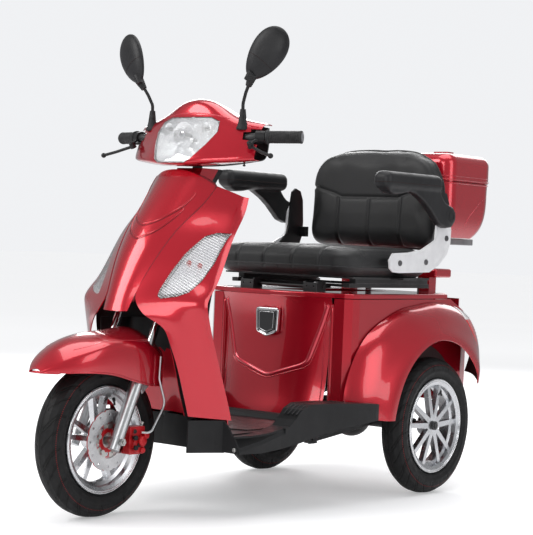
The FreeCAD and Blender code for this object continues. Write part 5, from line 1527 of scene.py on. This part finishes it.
# ------------------------------------------------------------------ wheels and fixings
def wheel_trim():
    """Polished double rings and valve stems; the rear wheels have them on the outside only."""
    # ring radius, distance from the wheel middle, cord radius
    rings = ((0.1375, 0.0333, 0.0019), (0.1325, 0.0322, 0.0012))
    valve_angle = math.radians(70)
    valve_profile = [(0, 0.0042), (0.45, 0.0040), (0.5, 0.0030), (0.95, 0.0030), (1.0, 0.0022)]
    for tyre, wheel, centre in WHEELS:
        for side in (-1, 1):
            if tyre != "front_tyre" and side * centre[0] < 0:
                continue
            tag = "%s_%s" % (tyre, "a" if side > 0 else "b")
            for i, (radius, offset, thickness) in enumerate(rings):
                middle = Vector(centre) + Vector((side * offset, 0, 0))
                cord("rim_ring_%s_%d" % (tag, i), circle_yz(middle, radius, 120), CHROME, wheel,
                     "rim_silver", radius=thickness, closed=True)
            root, tip = (Vector(centre) + Vector((side * offset, radius * math.cos(valve_angle),
                                                  radius * math.sin(valve_angle)))
                         for offset, radius in ((0.020, 0.112), (0.030, 0.094)))
            lathe("valve_" + tag, root, tip, valve_profile, RUBBER, wheel, seg=16)


def bolt(name, base, reach, profile, material, body, seg):
    lathe(name, base, base + Vector(reach), profile, material, body, seg=seg)


# bracket side outline: y, z in mm
BRACKET_OUTLINE = [
    (352, 690), (357, 674), (372, 665), (402, 663), (560, 667), (606, 687), (650, 726),
    (664, 752), (666, 788), (655, 830), (640, 846), (616, 842), (601, 824), (599, 796),
    (594, 758), (583, 762), (555, 732), (517, 718), (446, 708), (366, 704)]


def fixings():
    """Bolt and screw heads, and the pressed ribs that follow the seat brackets."""
    for side, name in SIDES:
        hub = pos(side * REAR_X, AXLE_Y, AXLE_Z)
        for k in range(5):
            angle = math.radians(54 + 72 * k)
            out = Vector((side * 0.0135, 0.0215 * math.cos(angle), 0.0215 * math.sin(angle)))
            bolt("hub_bolt_%s_%d" % (name[0], k), hub + out, (side * 0.004, 0, 0),
                 [(0, 0.0034), (0.8, 0.0034), (1.0, 0.0024), (0.9, 0.0008)],
                 BOLT_GREY, "rear_wheel_" + name[0], seg=6)
    for k, place_ in enumerate(((74.5, -448, 350), (97.4, -AXLE_Y, AXLE_Z))):
        bolt("fork_bolt_%d" % k, pos(*place_), (0.0048, 0, 0),
             [(0, 0.0052), (0.75, 0.0052), (1.0, 0.0040), (0.8, 0.0018)],
             ZINC, "fork_lower", seg=12)
    for k, place_ in enumerate(((80.6, -494, 226), (84.1, -480, 190))):
        bolt("caliper_bolt_%d" % k, pos(*place_), (0.004, 0, 0),
             [(0, 0.0058), (0.8, 0.0058), (1.0, 0.0045), (0.6, 0.0024)],
             BLACK, "fork_lower", seg=18)
    for side, name in reversed(SIDES):
        bolt("floor_screw_" + name[0], pos(side * 265, -310.5, 184), (0, -0.0012, 0),
             [(0, 0.0052), (0.7, 0.0044), (1.0, 0.0030), (0.4, 0.0012)],
             ZINC, "chassis", seg=20)
    for side, name in reversed(SIDES):
        for k, (y, z) in enumerate(((398, 684), (538, 689), (647, 763))):
            bolt("bracket_bolt_%s_%d" % (name[0], k), pos(side * 290.1, y, z),
                 (side * 0.0018, 0, 0),
                 [(0, 0.0080), (0.6, 0.0072), (1.0, 0.0055), (0.6, 0.0042), (0.4, 0.002)],
                 BOLT_GREY, "seat", seg=24)
        rib = [pos(side * 287.0, y, z) for y, z in resample(BRACKET_OUTLINE, 5)]
        cord("bracket_rib_" + name[0], relax(rib, 4, closed=True), WHITE, "seat", "white_metal",
             radius=0.0008, closed=True, seg=6)


def spring_coils():
    """A copy of the coil springs with a mesh of its own, riding on the chassis in place of the CAD
    springs.
    """
    coils = bpy.data.objects.new("spring_coils", NODES["shock_springs"].data.copy())
    COLLECTION.objects.link(coils)
    place(coils, "chassis", "shock_springs")
    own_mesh(coils)


def seat_cable():
    """Cable under the seat."""
    run = [(-90, 250, 603), (-40, 232, 604), (30, 236, 602), (80, 262, 603), (92, 330, 604)]
    cord("seat_cable", spline([pos(*p) for p in run], steps=10), RUBBER, "chassis",
         "black_plastic", radius=0.0030)


# ------------------------------------------------------------------ stage, lights, camera
def stage():
    """Pale floor; the camera sees it glow more with distance from the middle."""
    g = Graph("stage_pale")
    color = g.mix(g.drift(scale=0.8, detail=3), (0.80, 0.80, 0.81), (0.84, 0.84, 0.85))
    normal = g.bump(g.noise(scale=400), strength=0.02, distance=0.001)
    seen = g.node("ShaderNodeLightPath").outputs["Is Camera Ray"]
    x, y, _ = g.xyz()
    distance = g.calc("SQRT", g.add(g.mul(x, x), g.mul(y, y)))
    base_glow = 0.10
    glow = g.span(distance, 1.6, 7.5, 0.34, 0.63)
    material = g.finish(color=color, rough=0.75, normal=normal, emit=(0.96, 0.965, 0.97),
                        emit_s=g.add(base_glow, g.mul(seen, g.sub(glow, base_glow))))
    half, z = 40, -0.0005
    corners = [(-half, -half, z), (half, -half, z), (half, half, z), (-half, half, z)]
    new_object("stage_floor", corners, [(0, 1, 2, 3)], material)


def area(name, location, target, size, power, color=(1, 1, 1), size_y=None):
    light = bpy.data.lights.new(name, "AREA")
    light.energy = power
    light.color = color
    light.size = size
    if size_y:
        light.shape = "RECTANGLE"
        light.size_y = size_y
    obj = bpy.data.objects.new(name, light)
    COLLECTION.objects.link(obj)
    obj.location = Vector(location)
    obj.rotation_mode = "QUATERNION"
    obj.rotation_quaternion = (Vector(target) - Vector(location)).to_track_quat("-Z", "Y")


def lights():
    area("key", (-2.2, -3.6, 3.4), target=(0, 0, 0.6), size=2.4, power=105,
         color=(1.0, 0.99, 0.98))
    area("side", (3.8, 0.4, 1.9), target=(0, 0.1, 0.5), size=1.6, power=30,
         color=(0.99, 0.99, 1.0), size_y=2.6)
    area("front", (1.6, -4.6, 2.0), target=(0, -0.3, 0.6), size=2.0, power=42)
    area("top", (0.2, 0.4, 4.2), target=(0, 0, 0.4), size=3.4, power=95)
    area("rim_back", (-3.0, 3.2, 2.4), target=(0, 0.3, 0.7), size=1.8, power=70)
    area("back_fill", (-1.2, 4.2, 3.0), target=(0, 0.4, 0.7), size=2.6, power=55)


def world():
    """Pale surround, dimmer as a light than as the camera sees it."""
    surround = bpy.data.worlds.new("world")
    bpy.context.scene.world = surround
    surround.use_nodes = True
    tree = surround.node_tree
    background = tree.nodes["Background"]
    background.inputs[0].default_value = (0.93, 0.94, 0.96, 1)
    path = tree.nodes.new("ShaderNodeLightPath")
    strength = tree.nodes.new("ShaderNodeMapRange")
    tree.links.new(path.outputs["Is Camera Ray"], strength.inputs[0])
    strength.inputs[3].default_value = 0.36     # as a light
    strength.inputs[4].default_value = 0.94     # to the camera
    tree.links.new(strength.outputs[0], background.inputs[1])
    bpy.context.scene.view_settings.view_transform = "Standard"
    bpy.context.scene.view_settings.look = "None"


def camera():
    turn, elevation, roll = [math.radians(v) for v in (38.063, 0.936, 2.391)]
    back = Vector((math.sin(turn) * math.cos(elevation), -math.cos(turn) * math.cos(elevation),
                   math.sin(elevation)))
    right = Vector((math.cos(turn), math.sin(turn), 0))
    up = back.cross(right)
    camera_x = right * math.cos(roll) + up * math.sin(roll)
    camera_y = -right * math.sin(roll) + up * math.cos(roll)
    matrix = Matrix((camera_x, camera_y, back)).transposed().to_4x4()
    matrix.translation = Vector((3.02717, -3.73182 + OY, 0.73594))
    data = bpy.data.cameras.new("camera")
    data.sensor_width = 36
    data.lens = 113.6388785
    obj = bpy.data.objects.new("camera", data)
    COLLECTION.objects.link(obj)
    obj.matrix_world = matrix
    bpy.context.scene.camera = obj


for build in (seat_cushion, backrest, armrests, grips, headlight, mirror_boots, mirror_partings,
              bar_controls, apron_chevrons, apron_seams, turn_lamps, seat_box_front, rear_arches,
              trunk_lines, front_fender, caliper_castings, wheel_trim, fixings, spring_coils,
              seat_cable, stage, lights, world, camera):
    build()
